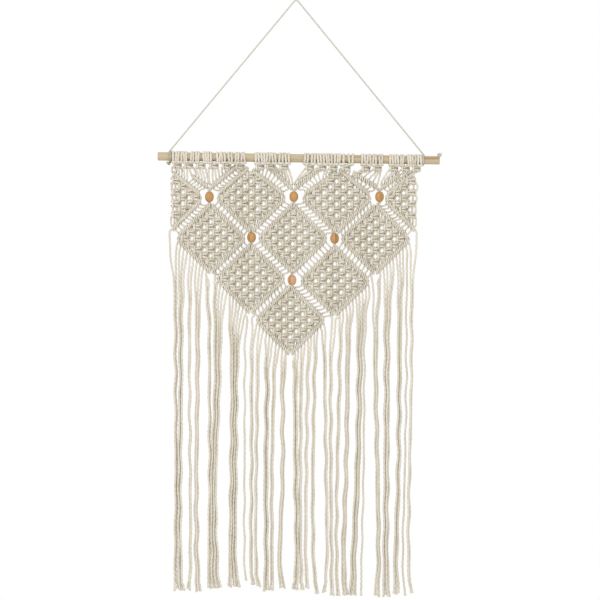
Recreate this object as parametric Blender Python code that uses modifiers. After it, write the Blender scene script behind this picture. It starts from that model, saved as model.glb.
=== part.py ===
"""Macrame wall hanging on a wooden dowel, hung from a taut cord.

Metres, +Z up. The front of the hanging faces -Y and the dowel runs along X. The origin is
the top of the hanging cord's bend, where a nail or hook in a wall carries the whole piece.

Thirty-six cotton cords are folded over the dowel, so that 72 strands hang from it. They
are knotted into a lattice of square-knot diamonds that ends in a point, with six wooden
beads threaded where the diamonds meet, and they hang free below it as a long fringe.
"""

import math

import bpy
from mathutils import Matrix, Vector

COLLECTION = "macrame_wall_hanging"
CLEARANCE = 0.0003  # between two pieces that touch on the real object

# Dowel: places are (x, z), as every flat place in this file
DOWEL_DIAMETER = 0.0127
DOWEL_LEFT = (-0.2075, -0.2337)
DOWEL_RIGHT = (0.2150, -0.2397)
DOWEL_SIDES = 32

# Hanging cord and the two ties that hold its ends
HANGING_CORD_DIAMETER = 0.002
HANGING_CORD_BEND = 0.004  # radius over the nail
CORD_POINT_SPACING = 0.016
LEFT_TIE_X = -0.1884
RIGHT_TIE_X = 0.1898
TIE_WIDTH = 0.004  # two turns side by side
TIE_THICKNESS = 0.002
TIE_SIDES = 24
LEFT_KNOT_PLACE = (-0.1911, -0.2437)
LEFT_KNOT_SIZE = (0.0084, 0.0065, 0.0052)
RIGHT_TAIL_DIAMETER = 0.002
RIGHT_TAIL_ROUTE = [  # x, y, z: behind the dowel and up past its end
    (0.1898, 0.0078, -0.2393),
    (0.2000, 0.0083, -0.2385),
    (0.2095, 0.0082, -0.2365),
    (0.2165, 0.0070, -0.2322),
    (0.2185, 0.0062, -0.2285),
]

# Heading: each group is two cords folded over the dowel and tied with one square knot
HEADING_CORD_THICKNESS = 0.0023  # of a cord pressed on the dowel
HEADING_SIDES = 16
HEADING_KNOT_WIDE = 0.0125
HEADING_KNOT_THICK = 0.0088
HEADING_KNOT_BEVEL = 0.0016
HEADING_KNOT_TOP = 0.0070  # below the dowel's axis
HEADING_KNOT_FOOT = 0.0195
HEADING_GROUPS = [  # middle x, width
    (-0.1780, 0.0150),
    (-0.1609, 0.0168),
    (-0.1424, 0.0174),
    (-0.1228, 0.0196),
    (-0.1038, 0.0166),
    (-0.0839, 0.0156),
    (-0.0537, 0.0155),
    (-0.0374, 0.0155),
    (-0.0183, 0.0164),
    (0.0207, 0.0174),
    (0.0386, 0.0160),
    (0.0555, 0.0160),
    (0.0751, 0.0208),
    (0.1052, 0.0146),
    (0.1223, 0.0158),
    (0.1465, 0.0144),
    (0.1636, 0.0170),
    (0.1798, 0.0138),
]

# Lattice: columns are the lines where diamonds meet, rows are the diamonds' middles
LATTICE_MIDDLE_X = -0.0040
LATTICE_HALF_PITCH = 0.0630
ROW_1_Z = -0.2940
ROW_PITCH = 0.0620

# Knotted panel
STRAND_LAYER_THICK = 0.0030
KNOT_PAD_THICK = 0.0088
DIAMOND_REACH = 0.0565  # from a diamond's middle to where its sides would meet
DIAMOND_HALF_WIDE = 0.0502  # to its blunt left and right corners
DIAMOND_HALF_TALL = 0.0495
DIAMONDS = [  # row, column: counted in half pitches from the middle, out to the cut ones
    (1, -3),
    (1, -1),
    (1, 1),
    (1, 3),
    (2, -2),
    (2, 0),
    (2, 2),
    (3, -1),
    (3, 1),
    (4, 0),
]
PANEL_TOP = 0.0198  # below the dowel's axis
PANEL_LEFT_SIDE = [(-0.1875, -0.3000), (-0.1877, -0.2750)]  # upwards
PANEL_RIGHT_SIDE = [(0.1866, -0.2750), (0.1845, -0.3050)]  # downwards
PANEL_LOWER_EDGE = [  # from left to right
    (-0.1855, -0.3385),
    (-0.1786, -0.3500),
    (-0.1770, -0.3610),
    (-0.0088, -0.5276),
    (0.1690, -0.3640),
    (0.1702, -0.3540),
    (0.1797, -0.3415),
]
TOP_POCKETS = [  # open spaces under the bare stretches of the dowel, clockwise from top left
    [(-0.0755, -0.2400), (-0.0625, -0.2400), (-0.0640, -0.2560), (-0.0685, -0.2585)],
    [
        (-0.0085, -0.2400),
        (0.0110, -0.2400),
        (0.0072, -0.2580),
        (0.0042, -0.2710),
        (0.0012, -0.2790),
        (-0.0034, -0.2770),
        (-0.0048, -0.2620),
    ],
    [(0.0835, -0.2400), (0.0955, -0.2400), (0.0890, -0.2625), (0.0842, -0.2620)],
    [
        (0.1290, -0.2400),
        (0.1380, -0.2400),
        (0.1345, -0.2620),
        (0.1310, -0.2780),
        (0.1268, -0.2750),
    ],
]

# Beads, on the two strands that cross each open junction
BEAD_PLACES = [  # x, z of each middle
    (-0.1302, -0.2945),
    (-0.0036, -0.2942),
    (0.1250, -0.2943),
    (-0.0671, -0.3552),
    (0.0576, -0.3569),
    (-0.0063, -0.4193),
]
BEAD_DIAMETER = 0.0130
BEAD_HEIGHT = 0.0150
BEAD_MOUTH_RADIUS = 0.0040  # of its flat ends
BEAD_CORD_DIAMETER = 0.0050  # two strands pressed together
BEAD_CORD_HALF_LENGTH = 0.0140
BEAD_OPENING_RADIUS = 0.0112
BEAD_SIDES = 16
OPENING_SIDES = 24

# Fringe: one comb, whose teeth are the bundles in which the strands hang
FRINGE_THICK = 0.0040
FRINGE_SPINE = 0.0040
FRINGE_LEFT_START = (-0.1906, -0.3393)
FRINGE_RIGHT_START = (0.1845, -0.3425)
FRINGE_TOP_GAP = 0.0022  # between two teeth where they leave the edge
FRINGE_GATHERED = 0.40  # share of the way to UPPER_Z in which a tooth's strands come together
STRAND_DIAMETER = 0.0030
STRAND_IN_BUNDLE = 0.0018  # width that each further strand adds to a tooth
UPPER_Z = -0.5690
MIDDLE_Z = -0.7190
LOWER_Z = -0.8390
FRINGE_TEETH = [  # strands, x at UPPER_Z, at MIDDLE_Z, at LOWER_Z and at its foot, foot's z
    (3, -0.1762, -0.1765, -0.1778, -0.1750, -0.8858),
    (6, -0.1526, -0.1548, -0.1512, -0.1515, -0.8890),
    (7, -0.1226, -0.1248, -0.1240, -0.1226, -0.8815),
    (6, -0.0920, -0.0930, -0.0955, -0.0945, -0.8800),
    (1, -0.0775, -0.0782, -0.0788, -0.0768, -0.8710),
    (4, -0.0626, -0.0626, -0.0624, -0.0618, -0.8770),
    (5, -0.0400, -0.0418, -0.0420, -0.0405, -0.8845),
    (4, -0.0198, -0.0192, -0.0245, -0.0200, -0.8815),
    (3, -0.0022, -0.0015, 0.0012, 0.0032, -0.8845),
    (5, 0.0120, 0.0120, 0.0145, 0.0152, -0.8840),
    (3, 0.0292, 0.0262, 0.0262, 0.0318, -0.8900),
    (4, 0.0462, 0.0450, 0.0472, 0.0490, -0.8880),
    (6, 0.0712, 0.0675, 0.0675, 0.0662, -0.8940),
    (5, 0.0955, 0.0955, 0.0928, 0.0890, -0.8940),
    (6, 0.1287, 0.1305, 0.1300, 0.1272, -0.8950),
    (2, 0.1560, 0.1580, 0.1528, 0.1500, -0.8920),
    (1, 0.1738, 0.1728, 0.1722, 0.1755, -0.8900),
]

COTTON = ((0.72, 0.67, 0.57), 0.9)
TWINE = ((0.62, 0.58, 0.50), 0.85)
PINE = ((0.66, 0.52, 0.33), 0.6)
BEAD_WOOD = ((0.60, 0.36, 0.15), 0.5)


def clear_scene():
    for thing in list(bpy.data.objects):
        bpy.data.objects.remove(thing)


def new_collection(name, shown=True):
    made = bpy.data.collections.new(name)
    bpy.context.scene.collection.children.link(made)
    made.hide_render = not shown
    return made


def add_material(thing, look):
    """Gives an object a material of its own, from a colour and a roughness."""
    colour, roughness = look
    made = bpy.data.materials.new(thing.name)
    made.use_nodes = True
    shader = made.node_tree.nodes["Principled BSDF"]
    shader.inputs["Base Color"].default_value = (*colour, 1.0)
    shader.inputs["Roughness"].default_value = roughness
    shader.inputs["Metallic"].default_value = 0.0
    thing.data.materials.clear()
    thing.data.materials.append(made)


def place(thing, collection):
    """Leaves an object in one collection only."""
    for holder in list(thing.users_collection):
        holder.objects.unlink(thing)
    collection.objects.link(thing)


def as_cutter(thing, cutters):
    thing.hide_render = True
    thing.display_type = "WIRE"
    place(thing, cutters)
    return thing


def join_by(thing, other, operation):
    step = thing.modifiers.new(operation.lower(), "BOOLEAN")
    step.operation = operation
    step.solver = "EXACT"
    step.object = other


def baked(thing, name):
    """A mesh object with the shape of thing as evaluated, welded, in world space."""
    bpy.context.view_layer.update()
    shown = thing.evaluated_get(bpy.context.evaluated_depsgraph_get())
    mesh = bpy.data.meshes.new_from_object(shown)
    mesh.transform(thing.matrix_world)
    bpy.data.objects.remove(thing)
    made = bpy.data.objects.new(name, mesh)
    bpy.context.scene.collection.objects.link(made)
    weld = made.modifiers.new("weld", "WELD")
    weld.merge_threshold = 0.00001
    return made


def slab(name, outlines, thickness):
    """A flat piece in the XZ plane, its middle at y = 0. Outlines inside another are holes."""
    curve = bpy.data.curves.new(name, "CURVE")
    curve.dimensions = "2D"
    curve.fill_mode = "BOTH"
    curve.extrude = thickness / 2
    for outline in outlines:
        line = curve.splines.new("POLY")
        line.points.add(len(outline) - 1)
        line.use_cyclic_u = True
        for point, (x, z) in zip(line.points, outline, strict=True):
            point.co = (x, z, 0.0, 1.0)
    flat = bpy.data.objects.new(name, curve)
    flat.rotation_euler = (math.pi / 2, 0.0, 0.0)
    bpy.context.scene.collection.objects.link(flat)
    return baked(flat, name)


def tube(name, route, diameter):
    """A round cord along a list of points, with closed ends and eight sides."""
    curve = bpy.data.curves.new(name, "CURVE")
    curve.dimensions = "3D"
    curve.bevel_depth = diameter / 2
    curve.bevel_resolution = 2
    curve.use_fill_caps = True
    line = curve.splines.new("POLY")
    line.points.add(len(route) - 1)
    for point, co in zip(line.points, route, strict=True):
        point.co = (*co, 1.0)
    cord = bpy.data.objects.new(name, curve)
    bpy.context.scene.collection.objects.link(cord)
    return baked(cord, name)


def turned(name, profile, sides):
    """A closed profile of (radius, along) points turned round the Z axis."""
    mesh = bpy.data.meshes.new(name)
    points = [(radius, 0.0, along) for radius, along in profile]
    edges = [(i, (i + 1) % len(points)) for i in range(len(points))]
    mesh.from_pydata(points, edges, [])
    made = bpy.data.objects.new(name, mesh)
    bpy.context.scene.collection.objects.link(made)
    screw = made.modifiers.new("turn", "SCREW")
    screw.axis = "Z"
    screw.angle = math.tau
    screw.steps = sides
    screw.render_steps = sides
    screw.use_merge_vertices = True
    screw.merge_threshold = 0.00001
    return made


def dowel_z(x):
    """The height of the dowel's axis at x: it hangs a little lower on the right."""
    share = (x - DOWEL_LEFT[0]) / (DOWEL_RIGHT[0] - DOWEL_LEFT[0])
    return DOWEL_LEFT[1] + share * (DOWEL_RIGHT[1] - DOWEL_LEFT[1])


def dowel_tilt():
    fall = DOWEL_LEFT[1] - DOWEL_RIGHT[1]
    return math.atan2(fall, DOWEL_RIGHT[0] - DOWEL_LEFT[0])


def on_dowel(x):
    """The matrix that puts a piece turned round Z onto the dowel's axis at x."""
    turn = Matrix.Rotation(math.pi / 2 + dowel_tilt(), 4, "Y")
    return Matrix.Translation((x, 0.0, dowel_z(x))) @ turn


def clear_of_dowel(sides):
    """The corner radius of a turned bore whose flat sides clear the dowel."""
    return (DOWEL_DIAMETER / 2 + CLEARANCE) / math.cos(math.pi / sides)


def lattice(row, column):
    x = LATTICE_MIDDLE_X + column * LATTICE_HALF_PITCH
    return x, ROW_1_Z - (row - 1) * ROW_PITCH


def offset_line(line, distance):
    """An open line moved sideways to its right-hand side, with mitred corners."""
    moved = []
    for i, point in enumerate(line):
        here = Vector(point)
        before = here - Vector(line[i - 1]) if i else None
        after = Vector(line[i + 1]) - here if i + 1 < len(line) else None
        sides = [Vector((d.y, -d.x)).normalized() for d in (before, after) if d]
        middle = sum(sides, Vector((0.0, 0.0))).normalized()
        moved.append(tuple(here + middle * (distance / middle.dot(sides[0]))))
    return moved


def height_on(line, x):
    """The z of an open line, which runs to the right, at x."""
    for (x0, z0), (x1, z1) in zip(line, line[1:]):
        if x0 <= x <= x1:
            return z0 + (x - x0) / (x1 - x0) * (z1 - z0)
    return line[0][1] if x < line[0][0] else line[-1][1]


def make_dowel(parts):
    bpy.ops.mesh.primitive_cylinder_add(
        vertices=DOWEL_SIDES,
        radius=DOWEL_DIAMETER / 2,
        depth=math.dist(DOWEL_LEFT, DOWEL_RIGHT),
    )
    dowel = bpy.context.object
    dowel.name = "dowel"
    dowel.matrix_world = on_dowel((DOWEL_LEFT[0] + DOWEL_RIGHT[0]) / 2)
    dowel.data.shade_smooth()
    add_material(dowel, PINE)
    place(dowel, parts)


def tie_top(x):
    """Where a leg of the hanging cord starts, just above the tie at x."""
    outer = clear_of_dowel(TIE_SIDES) + TIE_THICKNESS
    lean = math.atan2(abs(x), -dowel_z(x))
    lift = CLEARANCE + HANGING_CORD_DIAMETER / 2 * math.sin(lean)
    return Vector((x, 0.0, dowel_z(x) + outer + lift))


def hanging_route():
    """Straight legs from both ties, joined by a round bend over the nail at the origin."""
    left, right = tie_top(LEFT_TIE_X), tie_top(RIGHT_TIE_X)
    rise = math.atan2(-left.z, -left.x)
    fall = math.atan2(-right.z, right.x)
    turns = [math.pi / 2 + rise - i / 6 * (rise + fall) for i in range(7)]
    bend = [Vector((math.cos(a), 0.0, math.sin(a) - 1.0)) * HANGING_CORD_BEND for a in turns]
    steps = round(left.length / CORD_POINT_SPACING)
    up = [left.lerp(bend[0], i / steps) for i in range(steps)]
    down = [bend[-1].lerp(right, (i + 1) / steps) for i in range(steps)]
    return up + bend + down


def make_hanging_cord(parts):
    cord = tube("hanging_cord", hanging_route(), HANGING_CORD_DIAMETER)
    add_material(cord, TWINE)
    place(cord, parts)


def tie_ring(name, x):
    """Two turns of cord round the dowel, as one ring with a groove between the turns."""
    inner = clear_of_dowel(TIE_SIDES)
    outer = inner + TIE_THICKNESS
    half, soft = TIE_WIDTH / 2, TIE_THICKNESS / 4
    profile = [
        (outer - soft, half),
        (outer, half - soft),
        (outer, soft),
        (outer - soft, 0.0),
        (outer, -soft),
        (outer, soft - half),
        (outer - soft, -half),
        (inner, -half),
        (inner, half),
    ]
    ring = turned(name, profile, TIE_SIDES)
    ring.matrix_world = on_dowel(x)
    return ring


def make_ties(parts, cutters):
    left = tie_ring("cord_tie_left", LEFT_TIE_X)
    bpy.ops.mesh.primitive_uv_sphere_add(segments=12, ring_count=8, radius=0.5)
    knot = bpy.context.object
    knot.name = "left_knot"
    knot.location = (LEFT_KNOT_PLACE[0], 0.0, LEFT_KNOT_PLACE[1])
    knot.scale = LEFT_KNOT_SIZE
    join_by(left, as_cutter(knot, cutters), "UNION")
    right = tie_ring("cord_tie_right", RIGHT_TIE_X)
    tail = tube("right_tail", RIGHT_TAIL_ROUTE, RIGHT_TAIL_DIAMETER)
    join_by(right, as_cutter(tail, cutters), "UNION")
    for tie in (left, right):
        add_material(tie, TWINE)
        place(tie, parts)


def heading_knot(name, x):
    """The block of one square knot, under its group of cords."""
    bpy.ops.mesh.primitive_cube_add(size=1.0)
    block = bpy.context.object
    block.name = name
    tall = HEADING_KNOT_FOOT - HEADING_KNOT_TOP
    block.data.transform(
        Matrix.Diagonal((HEADING_KNOT_WIDE, HEADING_KNOT_THICK, tall, 1.0))
    )
    middle = (HEADING_KNOT_TOP + HEADING_KNOT_FOOT) / 2
    block.location = (x, 0.0, dowel_z(x) - middle)
    block.rotation_euler = (0.0, dowel_tilt(), 0.0)
    soften = block.modifiers.new("soften", "BEVEL")
    soften.width = HEADING_KNOT_BEVEL
    soften.segments = 1
    return block


def make_headings(parts, cutters):
    inner = clear_of_dowel(HEADING_SIDES)
    outer = inner + HEADING_CORD_THICKNESS
    for i, (x, width) in enumerate(HEADING_GROUPS):
        half = width / 2
        profile = [(outer, half), (outer, -half), (inner, -half), (inner, half)]
        group = turned(f"heading_{i + 1:02}", profile, HEADING_SIDES)
        group.matrix_world = on_dowel(x)
        knot = heading_knot(f"heading_knot_{i + 1:02}", x)
        join_by(group, as_cutter(knot, cutters), "UNION")
        add_material(group, COTTON)
        place(group, parts)


def circle(centre, radius, sides):
    turns = [math.tau * i / sides for i in range(sides)]
    return [(centre[0] + radius * math.cos(a), centre[1] + radius * math.sin(a)) for a in turns]


def diamond(centre):
    """A square standing on its corner, with the four corners cut blunt."""
    x, z = centre
    wide, tall, reach = DIAMOND_HALF_WIDE, DIAMOND_HALF_TALL, DIAMOND_REACH
    quarter = [(wide, reach - wide), (reach - tall, tall)]
    corners = quarter + [(-a, b) for a, b in reversed(quarter)]
    corners += [(-a, -b) for a, b in quarter] + [(a, -b) for a, b in reversed(quarter)]
    return [(x + a, z + b) for a, b in corners]


def panel_outline():
    """The whole outer edge of the knotted panel, anticlockwise from its top left corner."""
    left, right = PANEL_LEFT_SIDE[-1][0], PANEL_RIGHT_SIDE[0][0]
    top = [(right, dowel_z(right) - PANEL_TOP), (left, dowel_z(left) - PANEL_TOP)]
    return top[1:] + PANEL_LEFT_SIDE[::-1] + PANEL_LOWER_EDGE + PANEL_RIGHT_SIDE[::-1] + top[:1]


def make_panel(parts, cutters):
    """The strands as one thin layer, with thick pads where they are knotted."""
    low, high = PANEL_LOWER_EDGE[3][1] - 0.01, dowel_z(0.0)
    sheet = [(-0.2, high), (-0.2, low), (0.2, low), (0.2, high)]
    panel = slab("knotted_panel", [sheet], STRAND_LAYER_THICK)
    openings = [circle(bead, BEAD_OPENING_RADIUS, OPENING_SIDES) for bead in BEAD_PLACES]
    holes = slab("openings", openings + TOP_POCKETS, 2 * KNOT_PAD_THICK)
    pads = slab("pads", [diamond(lattice(*spot)) for spot in DIAMONDS], KNOT_PAD_THICK)
    envelope = slab("envelope", [panel_outline()], 1.5 * KNOT_PAD_THICK)
    join_by(panel, as_cutter(pads, cutters), "UNION")
    join_by(panel, as_cutter(holes, cutters), "DIFFERENCE")
    for i, (x, z) in enumerate(BEAD_PLACES):
        ends = [(x, 0.0, z + s * BEAD_CORD_HALF_LENGTH) for s in (1, -1)]
        strands = tube(f"bead_strands_{i + 1}", ends, BEAD_CORD_DIAMETER)
        join_by(panel, as_cutter(strands, cutters), "UNION")
    join_by(panel, as_cutter(envelope, cutters), "INTERSECT")
    add_material(panel, COTTON)
    place(panel, parts)


def bead_profile():
    """An oval bead: a round outer side between two flat ends, and a straight bore."""
    bore = (BEAD_CORD_DIAMETER / 2 + CLEARANCE) / math.cos(math.pi / BEAD_SIDES)
    top, steps = BEAD_HEIGHT / 2, 8
    belly = BEAD_DIAMETER / 2 - BEAD_MOUTH_RADIUS
    side = []
    for i in range(steps + 1):
        along = math.cos(math.pi * i / steps)
        side.append((BEAD_MOUTH_RADIUS + belly * math.sqrt(1 - along * along), top * along))
    return side + [(bore, -top), (bore, top)]


def make_beads(parts):
    for i, (x, z) in enumerate(BEAD_PLACES):
        bead = turned(f"bead_{i + 1}", bead_profile(), BEAD_SIDES)
        bead.location = (x, 0.0, z)
        add_material(bead, BEAD_WOOD)
        place(bead, parts)


def tooth_sides(first, tooth, spine):
    """The left and the right side of one tooth, from the spine down to its foot."""
    strands, upper, middle, lower, foot, foot_z = tooth
    start, end = edge_x(first), edge_x(first + strands)
    top_x = (start + end) / 2
    top_half = (end - start - FRINGE_TOP_GAP) / 2
    half = (STRAND_DIAMETER + (strands - 1) * STRAND_IN_BUNDLE) / 2
    top_half = min(top_half, half + (strands - 1) * STRAND_IN_BUNDLE)
    top_z = height_on(spine, top_x)
    gathered_x = top_x + FRINGE_GATHERED * (upper - top_x)
    gathered_z = top_z + FRINGE_GATHERED * (UPPER_Z - top_z)
    rows = [
        (gathered_x, gathered_z, half),
        (upper, UPPER_Z, half),
        (middle, MIDDLE_Z, half),
        (lower, LOWER_Z, half),
        (foot, foot_z, half * 1.15),
    ]
    sides = []
    for sign in (-1, 1):
        x = top_x + sign * top_half
        side = [(x, height_on(spine, x))]
        side += [(middle_x + sign * wide, z) for middle_x, z, wide in rows]
        sides.append(side)
    return sides


def edge_x(strand):
    """Where the gap before a strand, counted from 0 at the left, stands along the edge."""
    left, tip, right = FRINGE_LEFT_START[0], PANEL_LOWER_EDGE[3][0], FRINGE_RIGHT_START[0]
    half_count = sum(tooth[0] for tooth in FRINGE_TEETH) / 2
    if strand <= half_count:
        return left + strand / half_count * (tip - left)
    return tip + (strand - half_count) / half_count * (right - tip)


def make_fringe(parts):
    """One comb: its spine follows the panel's lower edge, and its teeth hang from it."""
    edge = offset_line(PANEL_LOWER_EDGE, CLEARANCE)
    spine = offset_line(PANEL_LOWER_EDGE, CLEARANCE + FRINGE_SPINE)
    spine[0] = (FRINGE_LEFT_START[0], spine[0][1] - FRINGE_SPINE)
    spine[-1] = (FRINGE_RIGHT_START[0], spine[-1][1] - FRINGE_SPINE)
    teeth, first = [], 0
    for tooth in FRINGE_TEETH:
        teeth.append(tooth_sides(first, tooth, spine))
        first += tooth[0]
    outline = [FRINGE_LEFT_START] + edge + [FRINGE_RIGHT_START]
    below = list(reversed(spine[1:-1]))
    lower = []
    for left, right in reversed(teeth):
        lower += [point for point in below if point[0] > right[0][0]]
        below = [point for point in below if point[0] < left[0][0]]
        lower += right + left[::-1]
    fringe = slab("fringe", [outline + lower + below], FRINGE_THICK)
    add_material(fringe, COTTON)
    place(fringe, parts)


def main():
    clear_scene()
    parts = new_collection(COLLECTION)
    cutters = new_collection("cutters", shown=False)
    make_dowel(parts)
    make_hanging_cord(parts)
    make_ties(parts, cutters)
    make_headings(parts, cutters)
    make_panel(parts, cutters)
    make_beads(parts)
    make_fringe(parts)


main()
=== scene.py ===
"""Looks of the macrame wall hanging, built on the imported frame.

Thirty-six cotton cords are folded over a wooden dowel and knotted here one strand at a time,
as a maker does it: lark's heads, square knots and double half hitches. Each cord is one
unbroken route from tip to tip. Routes are in millimetres as (x, depth, z), and depth is
negative towards the front. Meshes are in metres, in the row frame.
"""

import logging
import math
from dataclasses import dataclass, field
from enum import Enum

import bmesh
import bpy
import numpy as np
from mathutils import Matrix, Vector


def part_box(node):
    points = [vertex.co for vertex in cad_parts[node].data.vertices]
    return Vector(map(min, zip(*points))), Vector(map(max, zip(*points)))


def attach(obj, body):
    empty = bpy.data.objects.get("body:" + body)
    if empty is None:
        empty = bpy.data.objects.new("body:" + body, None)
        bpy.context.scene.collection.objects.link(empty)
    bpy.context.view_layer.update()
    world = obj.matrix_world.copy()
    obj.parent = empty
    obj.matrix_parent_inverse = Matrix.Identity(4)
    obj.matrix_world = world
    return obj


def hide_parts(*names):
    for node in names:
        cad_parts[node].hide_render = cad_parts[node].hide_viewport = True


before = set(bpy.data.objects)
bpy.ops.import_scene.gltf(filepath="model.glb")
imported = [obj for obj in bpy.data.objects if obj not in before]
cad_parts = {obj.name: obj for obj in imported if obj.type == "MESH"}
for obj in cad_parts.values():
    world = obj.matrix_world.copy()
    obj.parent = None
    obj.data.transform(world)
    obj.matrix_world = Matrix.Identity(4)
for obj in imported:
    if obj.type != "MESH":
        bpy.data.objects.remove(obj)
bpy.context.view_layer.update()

Point = tuple[float, float, float]
Flat = tuple[float, float]

MM = 0.001
BODY = "root"
LOG = logging.getLogger("macrame")

STRANDS = 72
LEFT_HALF = 36  # how many of them hang from the left half
KNOT_STEP = 1.65  # between the rings of a knotted cord, in millimetres

# The ends of the dowel's axis, its size and where the hanging cord is tied, in millimetres
DOWEL_LEFT: Flat = (-207.5, -233.7)
DOWEL_RIGHT: Flat = (215.0, -239.7)
DOWEL_RADIUS = 6.35
LEFT_TIE_X = -188.4
RIGHT_TIE_X = 189.8
TIE_THICKNESS = 2.0
TIE_CLEARANCE = 0.3  # between a tie and the wood, as in the CAD
TIE_SIDES = 24


def dowel_z(x: float | np.ndarray) -> float | np.ndarray:
    """The height of the dowel's axis at x, in millimetres."""
    share = (x - DOWEL_LEFT[0]) / (DOWEL_RIGHT[0] - DOWEL_LEFT[0])
    return DOWEL_LEFT[1] + share * (DOWEL_RIGHT[1] - DOWEL_LEFT[1])


def on_dowel(x: float) -> Matrix:
    """The matrix, in metres, that lays a piece's own X along the dowel's axis at x."""
    tilt = math.atan2(DOWEL_LEFT[1] - DOWEL_RIGHT[1], DOWEL_RIGHT[0] - DOWEL_LEFT[0])
    return Matrix.Translation((x * MM, 0.0, dowel_z(x) * MM)) @ Matrix.Rotation(tilt, 4, "Y")


# ---------------------------------------------------------------- finishes


def linear(code: str) -> tuple[float, float, float, float]:
    """Turns an sRGB hex colour into what a socket takes.

    Args:
        code: The colour, such as #FFFFFF.

    Returns:
        Linear red, green, blue and alpha.
    """
    parts = [int(code[i : i + 2], 16) / 255 for i in (1, 3, 5)]
    lit = [p / 12.92 if p <= 0.04045 else ((p + 0.055) / 1.055) ** 2.4 for p in parts]
    return (lit[0], lit[1], lit[2], 1.0)


def add_node(
    tree: bpy.types.NodeTree,
    kind: str,
    settings: dict[str, object] | None = None,
    sockets: dict[str | int, object] | None = None,
) -> bpy.types.Node:
    """Adds a node with its settings and what goes into its sockets.

    Args:
        tree: The material's or the world's tree.
        kind: The node's type name.
        settings: Values of the node's own properties.
        sockets: For each input, a value or the output that feeds it.

    Returns:
        The new node.
    """
    node = tree.nodes.new(kind)
    for name, value in (settings or {}).items():
        setattr(node, name, value)
    for name, value in (sockets or {}).items():
        if isinstance(value, bpy.types.NodeSocket):
            tree.links.new(value, node.inputs[name])
        else:
            node.inputs[name].default_value = value
    return node


def new_finish(
    name: str, sockets: dict[str, object]
) -> tuple[bpy.types.Material, bpy.types.NodeTree, bpy.types.Node]:
    """A new material.

    Args:
        name: What the finish is called.
        sockets: Values of the Principled shader's own inputs.

    Returns:
        The material, its tree and its Principled shader.
    """
    made = bpy.data.materials.new(name)
    made.use_nodes = True
    shader = made.node_tree.nodes["Principled BSDF"]
    for socket, value in sockets.items():
        shader.inputs[socket].default_value = value
    return made, made.node_tree, shader


def ramp(
    tree: bpy.types.NodeTree, factor: bpy.types.NodeSocket, stops: list[tuple[float, str]]
) -> bpy.types.NodeSocket:
    """Adds a colour ramp.

    Args:
        tree: The material's tree.
        factor: What runs along the ramp.
        stops: Places from 0 to 1, each with its hex colour.

    Returns:
        The ramp's colour.
    """
    node = add_node(tree, "ShaderNodeValToRGB", None, {0: factor})
    elements = node.color_ramp.elements
    while len(elements) < len(stops):
        elements.new(0.5)
    for element, (place, code) in zip(elements, stops, strict=True):
        element.position = place
        element.color = linear(code)
    return node.outputs[0]


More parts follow.
